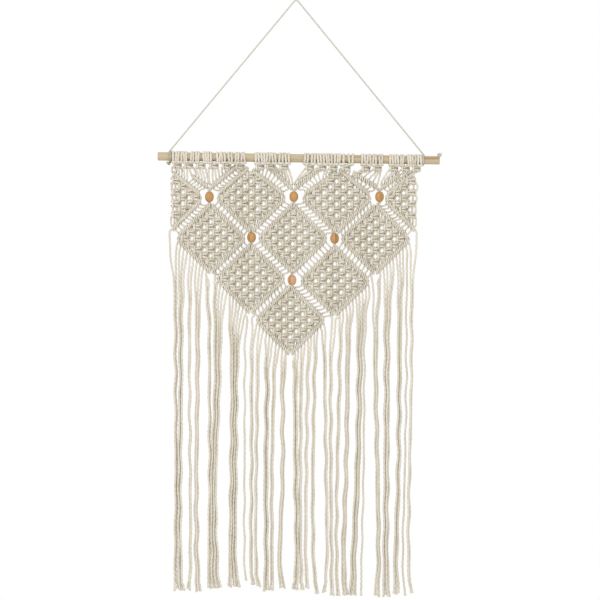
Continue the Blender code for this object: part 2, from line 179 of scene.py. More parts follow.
@dataclass(frozen=True)
class TwistedCotton:
    """Unbleached three-ply cotton cord, twisted and not waxed.

    The eye gets a chalky, warm off-white with a soft edge, no gloss, and fine slanted yarns
    inside each ply. Undyed cotton differs a little in tone from one cord to the next.
    """

    name: str = "twisted_cotton"
    light: str = "#DDD7CB"
    middle: str = "#D3CCBD"
    dark: str = "#C2BAA8"
    yarn_mm: float = 0.9  # real yarns are 0.4 mm; drawn coarser so that they show
    fluff_mm: float = 0.35
    slant: float = 9.0  # turns of the yarns' pattern once round a cord
    clouds: float = 60.0  # to a metre: soft patches of tone, about 17 mm each
    mottle: float = 0.6  # how much of the clouds shows in the tone
    yarn_tone: float = 0.06
    yarn_relief: float = 0.35
    bump: float = 0.35
    depth_mm: float = 0.2

    def material(self) -> bpy.types.Material:
        """Builds the finish, which reads the cord's own map: u along it, v round it.

        Returns:
            The material.
        """
        # light goes a little way into loosely spun cotton, and softens its grooves
        made, tree, shader = new_finish(self.name, {
            "Roughness": 0.95, "Specular IOR Level": 0.2, "Subsurface Weight": 0.25,
            "Subsurface Radius": (1.0, 0.9, 0.75), "Subsurface Scale": 1.5 * MM,
            "Sheen Weight": 0.08, "Sheen Roughness": 0.6, "Sheen Tint": linear("#FFF8EA"),
        })
        cord_map = add_node(tree, "ShaderNodeUVMap", {"uv_map": "cord"}).outputs[0]
        tone = add_node(tree, "ShaderNodeAttribute", {"attribute_name": "tone"}).outputs[2]
        # v counts turns round the cord, so that yarns slant across the plies
        spun = add_node(
            tree, "ShaderNodeMapping", None,
            {0: cord_map, "Scale": (1.0 / (self.yarn_mm * MM), self.slant, 1.0)},
        ).outputs[0]
        split = add_node(tree, "ShaderNodeSeparateXYZ", None, {0: spun})
        slant = add_node(
            tree, "ShaderNodeMath", {"operation": "ADD"}, {0: split.outputs[0], 1: split.outputs[1]}
        ).outputs[0]
        turn = add_node(
            tree, "ShaderNodeMath", {"operation": "MULTIPLY"}, {0: slant, 1: math.tau}
        ).outputs[0]
        yarn = add_node(tree, "ShaderNodeMath", {"operation": "SINE"}, {0: turn}).outputs[0]
        place = add_node(tree, "ShaderNodeTexCoord").outputs["Object"]
        fluff = add_node(
            tree, "ShaderNodeTexNoise", None,
            {"Vector": place, "Scale": 1.0 / (self.fluff_mm * MM), "Detail": 2.0},
        ).outputs[0]
        cloud = add_node(
            tree, "ShaderNodeTexNoise", None,
            {"Vector": place, "Scale": self.clouds, "Detail": 3.0},
        ).outputs[0]
        mottle = add_node(
            tree, "ShaderNodeMath", {"operation": "MULTIPLY_ADD"},
            {0: cloud, 1: self.mottle, 2: tone},
        ).outputs[0]
        fibre = add_node(
            tree, "ShaderNodeMath", {"operation": "MULTIPLY_ADD"},
            {0: yarn, 1: self.yarn_tone, 2: mottle},
        ).outputs[0]
        colour = ramp(tree, fibre, [(0.25, self.dark), (0.55, self.middle), (0.95, self.light)])
        tree.links.new(colour, shader.inputs["Base Color"])
        relief = add_node(
            tree, "ShaderNodeMath", {"operation": "MULTIPLY_ADD"},
            {0: yarn, 1: self.yarn_relief, 2: fluff},
        ).outputs[0]
        bump = add_node(
            tree, "ShaderNodeBump", None,
            {"Strength": self.bump, "Distance": self.depth_mm * MM, "Height": relief},
        )
        tree.links.new(bump.outputs[0], shader.inputs["Normal"])
        return made


@dataclass(frozen=True)
class Twine:
    """Thin two-ply linen twine, beige-grey, a little smoother than the cotton."""

    name: str = "twisted_twine"
    light: str = "#D2CEC4"
    dark: str = "#AEA898"
    fibres: float = 900.0  # to a metre, about 1.1 mm each
    bump: float = 0.3
    depth_mm: float = 0.1

    def material(self) -> bpy.types.Material:
        """Builds the finish.

        Returns:
            The material.
        """
        made, tree, shader = new_finish(self.name, {"Roughness": 0.8, "Specular IOR Level": 0.3})
        place = add_node(tree, "ShaderNodeTexCoord").outputs["Object"]
        fibre = add_node(
            tree, "ShaderNodeTexNoise", None,
            {"Vector": place, "Scale": self.fibres, "Detail": 3.0},
        ).outputs[0]
        colour = ramp(tree, fibre, [(0.3, self.dark), (0.7, self.light)])
        tree.links.new(colour, shader.inputs["Base Color"])
        bump = add_node(
            tree, "ShaderNodeBump", None,
            {"Strength": self.bump, "Distance": self.depth_mm * MM, "Height": fibre},
        )
        tree.links.new(bump.outputs[0], shader.inputs["Normal"])
        return made


@dataclass(frozen=True)
class SandedWood:
    """Bare softwood, turned and sanded: pale, satin, with long fine grain.

    Grain runs along the piece's own X. Rings show as soft stripes along it and as circles on
    a sawn end.
    """

    name: str
    light: str
    dark: str
    streak: str
    ring_mm: float
    roughness: float
    coat: float = 0.0
    stretch: float = 0.06  # scale of the rings' pattern along the grain, against 1 across
    pore_stretch: float = 0.04  # the same for the pores
    pores: float = 3200.0  # to a metre across the grain, about 0.3 mm each
    streaks: float = 120.0  # to a metre across the grain, about 8 mm each
    pore_share: float = 0.3
    bump: float = 0.25
    depth_mm: float = 0.2

    def material(self) -> bpy.types.Material:
        """Builds the finish.

        Returns:
            The material.
        """
        made, tree, shader = new_finish(self.name, {
            "Roughness": self.roughness, "Coat Weight": self.coat, "Coat Roughness": 0.35,
        })
        place = add_node(tree, "ShaderNodeTexCoord").outputs["Object"]
        stretched = add_node(
            tree, "ShaderNodeMapping", None, {0: place, "Scale": (self.stretch, 1.0, 1.0)}
        ).outputs[0]
        rings = add_node(
            tree, "ShaderNodeTexNoise", None,
            {"Vector": stretched, "Scale": 1.0 / (self.ring_mm * MM), "Detail": 3.0,
             "Roughness": 0.55, "Distortion": 0.4},
        ).outputs[0]
        pore_place = add_node(
            tree, "ShaderNodeMapping", None,
            {0: place, "Scale": (self.pore_stretch, 1.0, 1.0)},
        ).outputs[0]
        pores = add_node(
            tree, "ShaderNodeTexNoise", None,
            {"Vector": pore_place, "Scale": self.pores, "Detail": 2.0},
        ).outputs[0]
        broad = add_node(
            tree, "ShaderNodeTexNoise", None,
            {"Vector": stretched, "Scale": self.streaks, "Detail": 2.0},
        ).outputs[0]
        grain = add_node(
            tree, "ShaderNodeMath", {"operation": "MULTIPLY_ADD"},
            {0: pores, 1: self.pore_share, 2: rings},
        ).outputs[0]
        base = ramp(tree, grain, [(0.42, self.dark), (0.62, self.light), (0.85, self.light)])
        mask = ramp(tree, broad, [(0.56, "#000000"), (0.72, "#FFFFFF")])
        mixed = add_node(
            tree, "ShaderNodeMix", {"data_type": "RGBA"}, {0: mask, 6: base, 7: linear(self.streak)}
        )
        tree.links.new(mixed.outputs[2], shader.inputs["Base Color"])
        bump = add_node(
            tree, "ShaderNodeBump", None,
            {"Strength": self.bump, "Distance": self.depth_mm * MM, "Height": grain},
        )
        tree.links.new(bump.outputs[0], shader.inputs["Normal"])
        return made


@dataclass(frozen=True)
class StudioPaper:
    """Matt white paper, the plain floor under the piece."""

    name: str = "studio_paper"
    tone: str = "#F4F3F1"

    def material(self) -> bpy.types.Material:
        """The finished material."""
        return new_finish(self.name, {"Base Color": linear(self.tone), "Roughness": 0.9})[0]


# ---------------------------------------------------------------- cords as meshes


@dataclass(frozen=True)
class Lay:
    """How a cord is twisted: its plies, the turn they make and the corners of its section."""

    plies: int = 3
    turn_mm: float = 22.0
    corners: int = 9
    groove: float = 0.13


@dataclass
class Route:
    """The line that one strand follows, point by point, from the dowel down."""

    points: list[Point] = field(default_factory=list)
    radii: list[float] = field(default_factory=list)
    steps: list[float] = field(default_factory=list)
    pieces: list[str] = field(default_factory=list)
    radius: float = 1.42
    step: float = 1.5
    piece: str = ""

    def go(self, *points: Point) -> None:
        """Adds points, each with the thickness, ring spacing and piece now set.

        Args:
            points: The points, in order.
        """
        for point in points:
            self.points.append(point)
            self.radii.append(self.radius)
            self.steps.append(self.step)
            self.pieces.append(self.piece)


@dataclass
class Rings:
    """A cord's rings, ready to be joined into tubes."""

    centres: np.ndarray
    radii: np.ndarray
    lengths: np.ndarray
    pieces: list[str]
    tone: float
    lay: Lay = field(default_factory=Lay)
    sides: np.ndarray = field(default_factory=lambda: np.zeros((0, 3)))
    ups: np.ndarray = field(default_factory=lambda: np.zeros((0, 3)))


FINE = 8  # samples of each segment, by which the curve's length is measured


def smooth_rings(
    points: np.ndarray, radii: np.ndarray, steps: np.ndarray, tags: list[str], tone: float
) -> Rings:
    """Rings along a centripetal Catmull-Rom curve through the points.

    Args:
        points: Control points, one row each, in millimetres.
        radii: Cord radius at each point.
        steps: Distance wanted between rings at each point.
        tags: The piece that each segment belongs to, one fewer than the points.
        tone: The cord's own tone, from 0 to 1.

    Returns:
        The rings, without their side and up directions.
    """
    gaps = np.maximum(np.linalg.norm(np.diff(points, axis=0), axis=1), 1e-6)
    knots = np.concatenate([[0.0], np.cumsum(np.sqrt(gaps))])
    span = np.diff(knots)[:, None]
    slopes = np.diff(points, axis=0) / span
    tangents = np.empty_like(points)
    wide = (points[2:] - points[:-2]) / (knots[2:] - knots[:-2])[:, None]
    tangents[1:-1] = slopes[:-1] - wide + slopes[1:]
    tangents[0], tangents[-1] = slopes[0], slopes[-1]

    def curve(at: np.ndarray) -> tuple[np.ndarray, np.ndarray]:
        """Reads the curve.

        Args:
            at: Where on it, as parameters.

        Returns:
            The places, and the segment that each is in.
        """
        seg = np.clip(np.searchsorted(knots, at, side="right") - 1, 0, len(gaps) - 1)
        width = span[seg]
        t = (at - knots[seg])[:, None] / width
        a, b = points[seg], points[seg + 1]
        ta, tb = tangents[seg] * width, tangents[seg + 1] * width
        t2, t3 = t * t, t * t * t
        place = (2 * t3 - 3 * t2 + 1) * a + (t3 - 2 * t2 + t) * ta
        return place + (3 * t2 - 2 * t3) * b + (t3 - t2) * tb, seg

    last = len(knots) - 1
    fine = np.interp(np.linspace(0, last, FINE * last + 1), np.arange(last + 1), knots)
    line, _ = curve(fine)
    run = np.concatenate([[0.0], np.cumsum(np.linalg.norm(np.diff(line, axis=0), axis=1))])
    step = np.interp(fine, knots, steps)
    share = np.concatenate([[0.0], np.cumsum(np.diff(run) / (0.5 * (step[1:] + step[:-1])))])
    count = max(2, int(math.ceil(share[-1])) + 1)
    at = np.interp(np.linspace(0.0, share[-1], count), share, fine)
    centres, seg = curve(at)
    return Rings(
        centres=centres,
        radii=np.interp(at, knots, radii),
        lengths=np.interp(at, fine, run),
        pieces=[tags[i] for i in seg],
        tone=tone,
    )


def carry_frames(cords: list[Rings]) -> None:
    """Gives every ring a side and an up direction, carried along each cord without twist.

    Args:
        cords: All of them, worked together. Their sides and ups are filled in.
    """
    longest = max(len(c.centres) for c in cords)
    tangents = np.zeros((len(cords), longest, 3))
    for i, cord in enumerate(cords):
        ahead = np.gradient(cord.centres, axis=0)
        ahead /= np.maximum(np.linalg.norm(ahead, axis=1), 1e-9)[:, None]
        tangents[i, : len(ahead)] = ahead
        tangents[i, len(ahead) :] = ahead[-1]
    first = tangents[:, 0]
    seed = np.where(np.abs(first[:, 1:2]) < 0.8, [[0.0, 1.0, 0.0]], [[1.0, 0.0, 0.0]])
    side = seed - first * np.sum(seed * first, axis=1)[:, None]
    side /= np.linalg.norm(side, axis=1)[:, None]
    sides = np.zeros_like(tangents)
    sides[:, 0] = side
    for k in range(1, longest):
        now = tangents[:, k]
        side = side - now * np.sum(side * now, axis=1)[:, None]
        side /= np.maximum(np.linalg.norm(side, axis=1), 1e-9)[:, None]
        sides[:, k] = side
    for i, cord in enumerate(cords):
        count = len(cord.centres)
        cord.sides = sides[i, :count]
        cord.ups = np.cross(tangents[i, :count], sides[i, :count])


class TubeMesh:
    """Collects tubes and joins them into one mesh."""

    def __init__(self) -> None:
        """Starts with nothing in it."""
        self.vertices: list[np.ndarray] = []
        self.quads: list[np.ndarray] = []
        self.caps: list[np.ndarray] = []
        self.maps: list[np.ndarray] = []
        self.tones: list[np.ndarray] = []
        self.count = 0

    def add(self, cord: Rings, first: int, last: int) -> None:
        """Adds the closed tube between two rings of a cord.

        Args:
            cord: The cord, with its directions.
            first: The first ring.
            last: The last ring, which is included.
        """
        lay = cord.lay
        n = lay.corners
        part = slice(first, last + 1)
        turn = math.tau * np.arange(n) / n
        twist = math.tau * cord.lengths[part] / lay.turn_mm
        angle = turn[None, :] + twist[:, None]
        reach = cord.radii[part][:, None] * (1 + lay.groove * np.cos(lay.plies * turn))[None, :]
        shape = cord.centres[part][:, None, :]
        shape = shape + (reach * np.cos(angle))[..., None] * cord.sides[part][:, None, :]
        shape = shape + (reach * np.sin(angle))[..., None] * cord.ups[part][:, None, :]
        rings = last - first + 1
        i, j = np.meshgrid(np.arange(rings - 1), np.arange(n), indexing="ij")
        a = i * n + j
        b = i * n + (j + 1) % n
        quads = np.stack([a, b, b + n, a + n], axis=-1).reshape(-1, 4) + self.count
        along = cord.lengths[part] * MM
        u0, u1 = along[i], along[i + 1]
        v0, v1 = j / n, (j + 1) / n
        corners = np.stack(
            [np.stack([u0, v0], -1), np.stack([u0, v1], -1),
             np.stack([u1, v1], -1), np.stack([u1, v0], -1)], axis=2,
        )
        # each end has corners of its own, so that the shading doesn't bend round its rim
        ends = np.concatenate([shape[0], shape[-1]])
        self.vertices.append(np.concatenate([shape.reshape(-1, 3), ends]) * MM)
        self.quads.append(quads)
        self.maps.append(corners.reshape(-1, 2))
        self.caps.append(np.arange(n)[::-1] + self.count + rings * n)
        self.caps.append(np.arange(n) + self.count + (rings + 1) * n)
        self.tones.append(np.full((rings + 2) * n, cord.tone))
        self.count += (rings + 2) * n

    def build(self, name: str, material: bpy.types.Material) -> bpy.types.Object:
        """Joins what was added.

        Args:
            name: The object's name.
            material: Its finish.

        Returns:
            The object, smooth shaded, with its map and its tone.
        """
        mesh = bpy.data.meshes.new(name)
        vertices = np.concatenate(self.vertices)
        quads = np.concatenate(self.quads)
        caps = self.caps
        loops = np.concatenate([quads.ravel(), *caps])
        sizes = np.concatenate([np.full(len(quads), 4), [len(c) for c in caps]])
        starts = np.concatenate([[0], np.cumsum(sizes)[:-1]])
        mesh.vertices.add(len(vertices))
        mesh.vertices.foreach_set("co", vertices.astype(np.float32).ravel())
        mesh.loops.add(len(loops))
        mesh.loops.foreach_set("vertex_index", loops.astype(np.int32))
        mesh.polygons.add(len(sizes))
        mesh.polygons.foreach_set("loop_start", starts.astype(np.int32))
        mesh.polygons.foreach_set("use_smooth", np.ones(len(sizes), dtype=bool))
        mesh.update(calc_edges=True)
        layer = mesh.uv_layers.new(name="cord")
        flat = np.concatenate([np.concatenate(self.maps), np.zeros((sum(map(len, caps)), 2))])
        layer.data.foreach_set("uv", flat.astype(np.float32).ravel())
        tone = mesh.attributes.new("tone", "FLOAT", "POINT")
        tone.data.foreach_set("value", np.concatenate(self.tones).astype(np.float32))
        mesh.validate()
        made = bpy.data.objects.new(name, mesh)
        bpy.context.scene.collection.objects.link(made)
        made.data.materials.append(material)
        return made


def report(made: bpy.types.Object) -> None:
    """Logs a finished piece and the triangles in it."""
    triangles = sum(len(p.vertices) - 2 for p in made.data.polygons)
    LOG.info("%s: %d triangles", made.name, triangles)


# ---------------------------------------------------------------- knots


class Role(Enum):
    """What a strand does in a square knot, by its place from the left."""

    FRONT = 1
    LEFT_CORE = 2
    RIGHT_CORE = 3
    BACK = 4


# Square knot, pulled tight: (x from its middle, depth, height from its middle). The front
# cord makes both bars, and the back cord passes behind and comes up over them at the left.
# These points weren't set by hand. A separate run relaxed the cords as ropes that push each
# other apart, and its result was copied here. Only the cores' middles are simplified.
SQUARE_KNOT: dict[Role, list[Point]] = {
    Role.FRONT: [
        (-7.0, -2.5, 2.9), (-5.7, -3.2, 1.6), (-3.8, -3.7, 1.3), (-2.1, -4.4, 1.7),
        (-0.2, -4.3, 2.1), (1.7, -3.8, 2.6), (3.2, -2.7, 2.9), (3.6, -0.9, 3.7),
        (4.0, 0.9, 4.0), (4.5, 2.4, 2.9), (4.7, 2.9, 1.1), (4.7, 2.8, -0.9),
        (4.6, 2.2, -2.7), (4.0, 0.6, -3.7), (3.7, -1.2, -3.3), (3.2, -2.9, -2.7),
        (1.6, -4.0, -2.3), (-0.3, -4.4, -1.9), (-2.2, -4.4, -1.6), (-4.0, -3.6, -1.3),
        (-5.8, -3.0, -1.7), (-7.2, -2.4, -2.9),
    ],
    Role.LEFT_CORE: [
        (-2.3, -1.1, 5.1), (-1.5, -1.9, 3.3), (-1.5, -1.8, 0.0), (-1.4, -1.9, -3.1),
        (-2.0, -1.1, -5.0),
    ],
    Role.RIGHT_CORE: [
        (1.1, -1.7, 4.4), (1.0, -1.2, 2.7), (1.1, -1.3, 0.0), (1.1, -1.3, -2.7),
        (1.4, -1.8, -4.4),
    ],
    Role.BACK: [
        (4.8, 0.1, 1.5), (3.3, 0.6, 1.5), (1.9, 1.2, 1.7), (0.3, 1.3, 1.9),
        (-1.2, 0.9, 2.3), (-2.6, 0.5, 2.6), (-3.7, -0.5, 2.8), (-4.1, -2.0, 3.4),
        (-4.2, -3.4, 3.9), (-4.7, -4.8, 3.5), (-5.0, -5.8, 2.4), (-5.1, -6.1, 0.8),
        (-5.1, -6.0, -0.7), (-5.0, -5.8, -2.3), (-4.7, -4.9, -3.5), (-4.2, -3.5, -3.9),
        (-4.0, -2.1, -3.4), (-3.7, -0.7, -2.8), (-2.6, 0.4, -2.5), (-1.2, 0.9, -2.2),
        (0.3, 1.2, -1.8), (1.8, 1.2, -1.5), (3.2, 0.5, -1.2), (4.7, 0.0, -1.1),
    ],
}


@dataclass(frozen=True)
class SquareKnot:
    """One square knot of four strands, at a place in the lattice."""

    x: float
    z: float
    wide: float = 1.14
    tall: float = 1.1
    depth: float = 0.0
    radius: float = 1.53

    def tie(self, strand: Route, role: Role, skip: int = 0) -> None:
        """Leads one strand through the knot in its role.

        Args:
            strand: The strand.
            role: What it does in the knot.
            skip: How many of the knot's first points it leaves out.
        """
        strand.radius = self.radius
        for u, depth, w in SQUARE_KNOT[role][skip:]:
            strand.go((self.x + u * self.wide, self.depth + depth, self.z + w * self.tall))


@dataclass(frozen=True)
class HitchLine:
    """A row of double half hitches along a carrier cord.

    The carrier runs straight from start to end. Each strand comes from above, turns twice
    round the carrier and leaves below. Its two front bars stand upright.
    """

    start: Flat
    end: Flat
    count: int
    margin: float = 3.6  # from the start to the first hitch's middle, along the carrier
    tail: float = 3.6  # from the last hitch's middle to the end
    lean: float = 1.9
    reach: float = 2.8
    carrier_radius: float = 1.3
    wrap_radius: float = 1.36
    way_out: float = 5.3  # how far above and below the carrier a strand is led
    close: float = 0.8  # a strand that ends no higher than this above it skips the way in
    carry_points: int = 6
    squeezed: float = 0.215  # radius of a turn, as a share of the pitch, where that is less
    thinnest: float = 1.15

    def frame(self) -> tuple[np.ndarray, np.ndarray]:
        """The line's own directions.

        Returns:
            The one along it to the right, and the one across it upwards.
        """
        start, end = np.array(self.start), np.array(self.end)
        if start[0] > end[0]:
            start, end = end, start
        along = (end - start) / np.linalg.norm(end - start)
        return along, np.array([-along[1], along[0]])

    def pitch(self) -> float:
        """The distance between two hitches."""
        length = math.dist(self.start, self.end)
        return (length - self.margin - self.tail) / max(1, self.count - 1)

    def place(self, index: int) -> np.ndarray:
        """Where a hitch sits.

        Args:
            index: Which hitch, counted from the line's start.

        Returns:
            Its middle.
        """
        start, end = np.array(self.start), np.array(self.end)
        run = self.margin + index * self.pitch()
        return start + (end - start) * run / np.linalg.norm(end - start)

    def hitch(self, strand: Route, index: int) -> None:
        """Winds one strand twice round the carrier.

        Args:
            strand: The strand, which has come from above.
            index: Which hitch it makes, counted from the line's start.
        """
        along, across = self.frame()
        middle = self.place(index)
        turn = 1.0 if along[1] > 0 else -1.0
        slant, half = self.lean * turn, 0.25 * self.pitch() * turn
        # hitches that are pushed close together squeeze their turns thinner
        strand.radius = max(self.thinnest, min(self.wrap_radius, self.squeezed * self.pitch()))
        r = self.reach
        path: list[Point] = [(0.1 * half, 0.9, self.way_out), (-0.7 * half, 1.1 * r, 1.2)]
        for c in (-half, half):
            path += [
                (c - slant, 0.75 * r, -0.80 * r), (c - slant, -0.15 * r, -1.12 * r),
                (c - slant * 0.75, -0.85 * r, -0.75 * r), (c, -1.08 * r, 0.0),
                (c + slant * 0.75, -0.85 * r, 0.75 * r), (c + slant, 0.05 * r, 1.12 * r),
            ]
            if c == -half:
                path += [(0.35 * slant, 1.1 * r, 0.5 * r), (-0.35 * slant, 1.25 * r, -0.2 * r)]
        path += [(half + slant * 0.6, 0.9 * r, 0.5 * r), (0.7 * half, 1.1 * r, -0.9 * r)]
        path += [(-0.1 * half, 0.9, -self.way_out)]
        entry = middle + along * path[0][0] + across * path[0][2]
        if strand.points and strand.points[-1][2] < entry[1] + self.close:
            path = path[1:]
        for t, depth, n in path:
            x, z = middle + along * t + across * n
            strand.go((float(x), depth, float(z)))

    def carry(self, strand: Route, begin: float = 0.04, stop: float = 0.95) -> None:
        """Leads the carrier along the line.

        Args:
            strand: The carrier.
            begin: The share of the line's length where it comes in.
            stop: The share where it leaves.
        """
        strand.radius = self.carrier_radius
        start, end = np.array(self.start), np.array(self.end)
        for share in np.linspace(begin, stop, self.carry_points):
            x, z = start + (end - start) * share
            strand.go((float(x), 0.0, float(z)))


class Half(Enum):
    """Which part of a diamond is knotted."""

    WHOLE = "whole"
    LEFT = "left"
    RIGHT = "right"


KNOT_ROWS = 9  # rows of square knots in a diamond
MIDDLE_ROW = 4

# How an outermost strand passes a row that leaves it out: (outwards, depth, up)
EDGE_BOW: tuple[Point, ...] = ((0.5, -0.6, 2.6), (0.0, -0.6, 0.0), (0.5, -0.6, -2.6))


@dataclass(frozen=True)
class Diamond:
    """A diamond of alternating square knots, edged all round with hitches.

    Strands count from its left: ten of them, its two carriers, and ten more. A half diamond
    stands at the edge of the piece and has one carrier and ten strands.
    """

    x: float
    z: float
    first: int  # position of its leftmost strand
    half: Half = Half.WHOLE
    knot_shift: float = 0.0  # how far a half diamond's knots are drawn in
    rises: Flat = (50.5, 50.5)  # how high the left and right upper borders start
    shoulders: Flat = (0.0, 0.0)  # and how far above the side corners they end
    fall: float = 50.5  # how far below the middle the lower borders meet
    hip: float = 0.0  # and how far below the side corners they start
    edge: Flat = (0.0, 0.0)  # x of the outermost strand, at the top and foot
    starts: Flat = (4.8, 4.8)  # from the peak to the first hitch of each upper border
    outer: Flat = (0.0, 1.14)  # a half diamond's outermost knots: shift and stretch
    across: float = 9.5
    down: float = 8.5
    reach: float = 50.5  # from the middle to the carriers' crossing
    hitches: int = 10
    edge_margin: float = 13.4  # from a half diamond's peak to its first hitch
    end_gap: float = 4.8  # from a border's last hitch to its end, and from the lower peak
    corner_inset: float = 1.0  # how far a raised border stops short of the side corner
    run_in: float = 0.04  # share of a border's length, at a peak, without its carrier
    edge_run_in: float = 0.15  # the same in a half diamond
    corner_run: float = 0.05  # the same at the side corner of a lower border
    lead: float = 4.0  # and the carrier comes in no further than this before a first hitch
    turn: float = 1.5  # half the height in which the carrier turns the side corner
    taller: float = 0.3  # share of a moved corner's height by which that grows
    turn_slope: float = 0.4  # how far in the carrier is, for its height from the corner
    edge_radius: float = 1.45
    edge_pitch: float = 5.6  # between the two outermost strands of a half diamond

    def line(self, side: int, upper: bool) -> HitchLine:
        """One hitched border, from a peak to a side corner.

        Args:
            side: -1 for the left side and 1 for the right.
            upper: Whether it is above the corner.

        Returns:
            The border.
        """
        place = max(side, 0)
        rise = self.rises[place] if upper else -self.fall
        margin = self.starts[place] if upper else self.end_gap
        if self.half is not Half.WHOLE:
            margin = self.edge_margin
        bend = self.shoulders[place] if upper else -self.hip
        inset = self.corner_inset if upper and bend else 0.0
        corner = (self.x + side * (self.reach - inset), self.z + bend)
        return HitchLine((self.x, self.z + rise), corner, self.hitches, margin, self.end_gap)

    def work(self, strands: list[Route], piece: str) -> None:
        """Knots the diamond into the strands, in the positions that it takes.

        Args:
            strands: All 72, by position.
            piece: The name of the mesh piece that this work belongs to.
        """
        n, at = self.hitches, self.first - 1
        if self.half is not Half.RIGHT:
            self.work_side(-1, strands[at : at + n], strands[at + n], piece)
            at += n + 1
        if self.half is not Half.LEFT:
            self.work_side(1, strands[at + 1 : at + 1 + n], strands[at], piece)

    def work_side(self, side: int, strands: list[Route], carrier: Route, piece: str) -> None:
        """Leads one side's ten strands and its carrier through the diamond.

        Args:
            side: -1 for the left side and 1 for the right.
            strands: The ten strands from left to right.
            carrier: The side's carrier.
            piece: The name of the mesh piece.
        """
        upper, lower = self.line(side, True), self.line(side, False)
        count = len(strands)
        for strand in (*strands, carrier):
            strand.piece = piece
            strand.step = KNOT_STEP
        begin = self.run_in if self.half is Half.WHOLE else self.edge_run_in
        length = math.dist(upper.start, upper.end)
        upper.carry(carrier, max(begin, (upper.margin - self.lead) / length))
        self.turn_corner(carrier, side)
        back = HitchLine(lower.end, lower.start, lower.count, lower.tail, lower.margin)
        back.carry(carrier, self.corner_run, 1.0 - begin)
        for place, strand in enumerate(strands):
            nearest = count - 1 - place if side < 0 else place
            upper.hitch(strand, nearest)
            self.knots(strand, place + 1 if side < 0 else place + 11)
            lower.hitch(strand, nearest)

    def turn_corner(self, carrier: Route, side: int) -> None:
        """Takes the carrier round the diamond's side corner.

        Args:
            carrier: The carrier.
            side: -1 for the left side and 1 for the right.
        """
        x = self.x + side * self.reach
        above = self.turn + self.taller * self.shoulders[max(side, 0)]
        for dz in (above, 0.0, -self.turn - self.taller * self.hip):
            carrier.go((x - side * abs(dz) * self.turn_slope, 0.0, self.z + dz))

    def knots(self, strand: Route, number: int) -> None:
        """Leads a strand through its square knots.

        Args:
            strand: The strand.
            number: Its place from 1 to 20, without the carriers.
        """
        most = MIDDLE_ROW
        kept = {
            Half.WHOLE: range(-most, most + 1), Half.LEFT: range(-most, 0),
            Half.RIGHT: range(1, most + 1),
        }
        for row in range(KNOT_ROWS):
            widest = min(row, KNOT_ROWS - 1 - row)
            z = self.z - (row - MIDDLE_ROW) * self.down
            if self.half is not Half.WHOLE and row % 2 == 0:
                self.pass_edge(strand, number, row, z)
            for column in kept[self.half]:
                role = number - 8 - 2 * column
                if not 1 <= role <= len(Role) or (row + column) % 2 or abs(column) > widest:
                    continue
                x = self.x + self.knot_shift + column * self.across
                outermost = self.half is not Half.WHOLE and abs(column) == 1
                shift, wide = self.outer if outermost else (0.0, SquareKnot.wide)
                SquareKnot(x + shift, z, wide).tie(strand, Role(role))

    def pass_edge(self, strand: Route, number: int, row: int, z: float) -> None:
        """Leads the two outermost strands of a half diamond past a row that leaves them out.

        Args:
            strand: The strand.
            number: Its place from 1 to 20, without the carriers.
            row: The row, from 0 at the top.
            z: The row's height.
        """
        side = 1.0 if self.half is Half.RIGHT else -1.0
        place = number - 11 if self.half is Half.RIGHT else 10 - number
        last = KNOT_ROWS - 1
        if place not in (0, 1) or not 0 < row < last:
            return
        x = self.edge[0] + (self.edge[1] - self.edge[0]) * row / last
        strand.radius = self.edge_radius
        for out, depth, dz in EDGE_BOW:
            strand.go((x + side * (self.edge_pitch * place + out), depth, z + dz))


@dataclass(frozen=True)
class Arm:
    """A hitched arm that leads one strand inwards to an open junction."""

    start: Flat
    end: Flat
    origin: int  # the carrier's position before
    goal: int  # and after

    def work(self, strands: list[Route], piece: str) -> None:
        """Ties the arm, and moves the carrier to its new position.

        Args:
            strands: All 72, by position. Their order changes.
            piece: The name of the mesh piece that this work belongs to.
        """
        line = HitchLine(self.start, self.end, abs(self.goal - self.origin))
        carrier = strands.pop(self.origin - 1)
        low, high = sorted((self.origin, self.goal))
        crossed = strands[low - 1 : high - 1]
        if self.goal < self.origin:
            crossed.reverse()
        for strand in (*crossed, carrier):
            strand.piece = piece
            strand.step = KNOT_STEP
        line.carry(carrier, begin=0.0, stop=1.0)
        for index, strand in enumerate(crossed):
            line.hitch(strand, index)
        strands.insert(self.goal - 1, carrier)


# ---------------------------------------------------------------- the knotted cotton


@dataclass(frozen=True)
class Group:
    """Two folded cords on the dowel, by the group's middle and the widths of its legs."""

    middle: float
    outer: float  # between its two outer legs
    inner: float  # between its two inner legs

    def legs(self) -> tuple[float, float, float, float]:
        """Where its four legs cross the dowel."""
        outer, inner = self.outer / 2, self.inner / 2
        return self.middle - outer, self.middle - inner, self.middle + inner, self.middle + outer


# From left to right, in millimetres, from places that were read in the photograph
HEADING_GROUPS: list[Group] = [
    Group(-178, 12.5, 3.5),
    Group(-161, 14, 7.5),
    Group(-142.5, 14.5, 7.5),
    Group(-123, 17.5, 9.5),
    Group(-104, 14.5, 6),
    Group(-84, 12.5, 5),
    Group(-54, 12.5, 4.5),
    Group(-37.5, 12.5, 4),
    Group(-18, 13.5, 4.5),
    Group(20.5, 14.5, 6),
    Group(39, 13, 4.5),
    Group(55.5, 13.5, 5),
    Group(75, 19, 8),
    Group(105, 12, 4),
    Group(122, 13, 5.5),
    Group(146.5, 11.5, 4),
    Group(164, 14, 7.5),
    Group(180.5, 12, 4),
]
HEADING_LEGS = [group.legs() for group in HEADING_GROUPS]

# How a leg goes over the dowel: (outwards, depth, up), from the wood's axis at the leg
OVER_DOWEL: tuple[Point, ...] = (
    (-0.6, -9.2, -8.6), (1.2, -7.9, -8.7), (1.5, -4.5, -8.6), (0.9, 0.5, -7.9),
    (0.3, 5.6, -5.6), (0.0, 7.9, 0.0), (0.0, 5.6, 5.6), (0.0, 0.0, 7.9),
    (0.0, -5.6, 5.6), (0.0, -7.9, 0.0), (0.0, -6.6, -7.0),
)

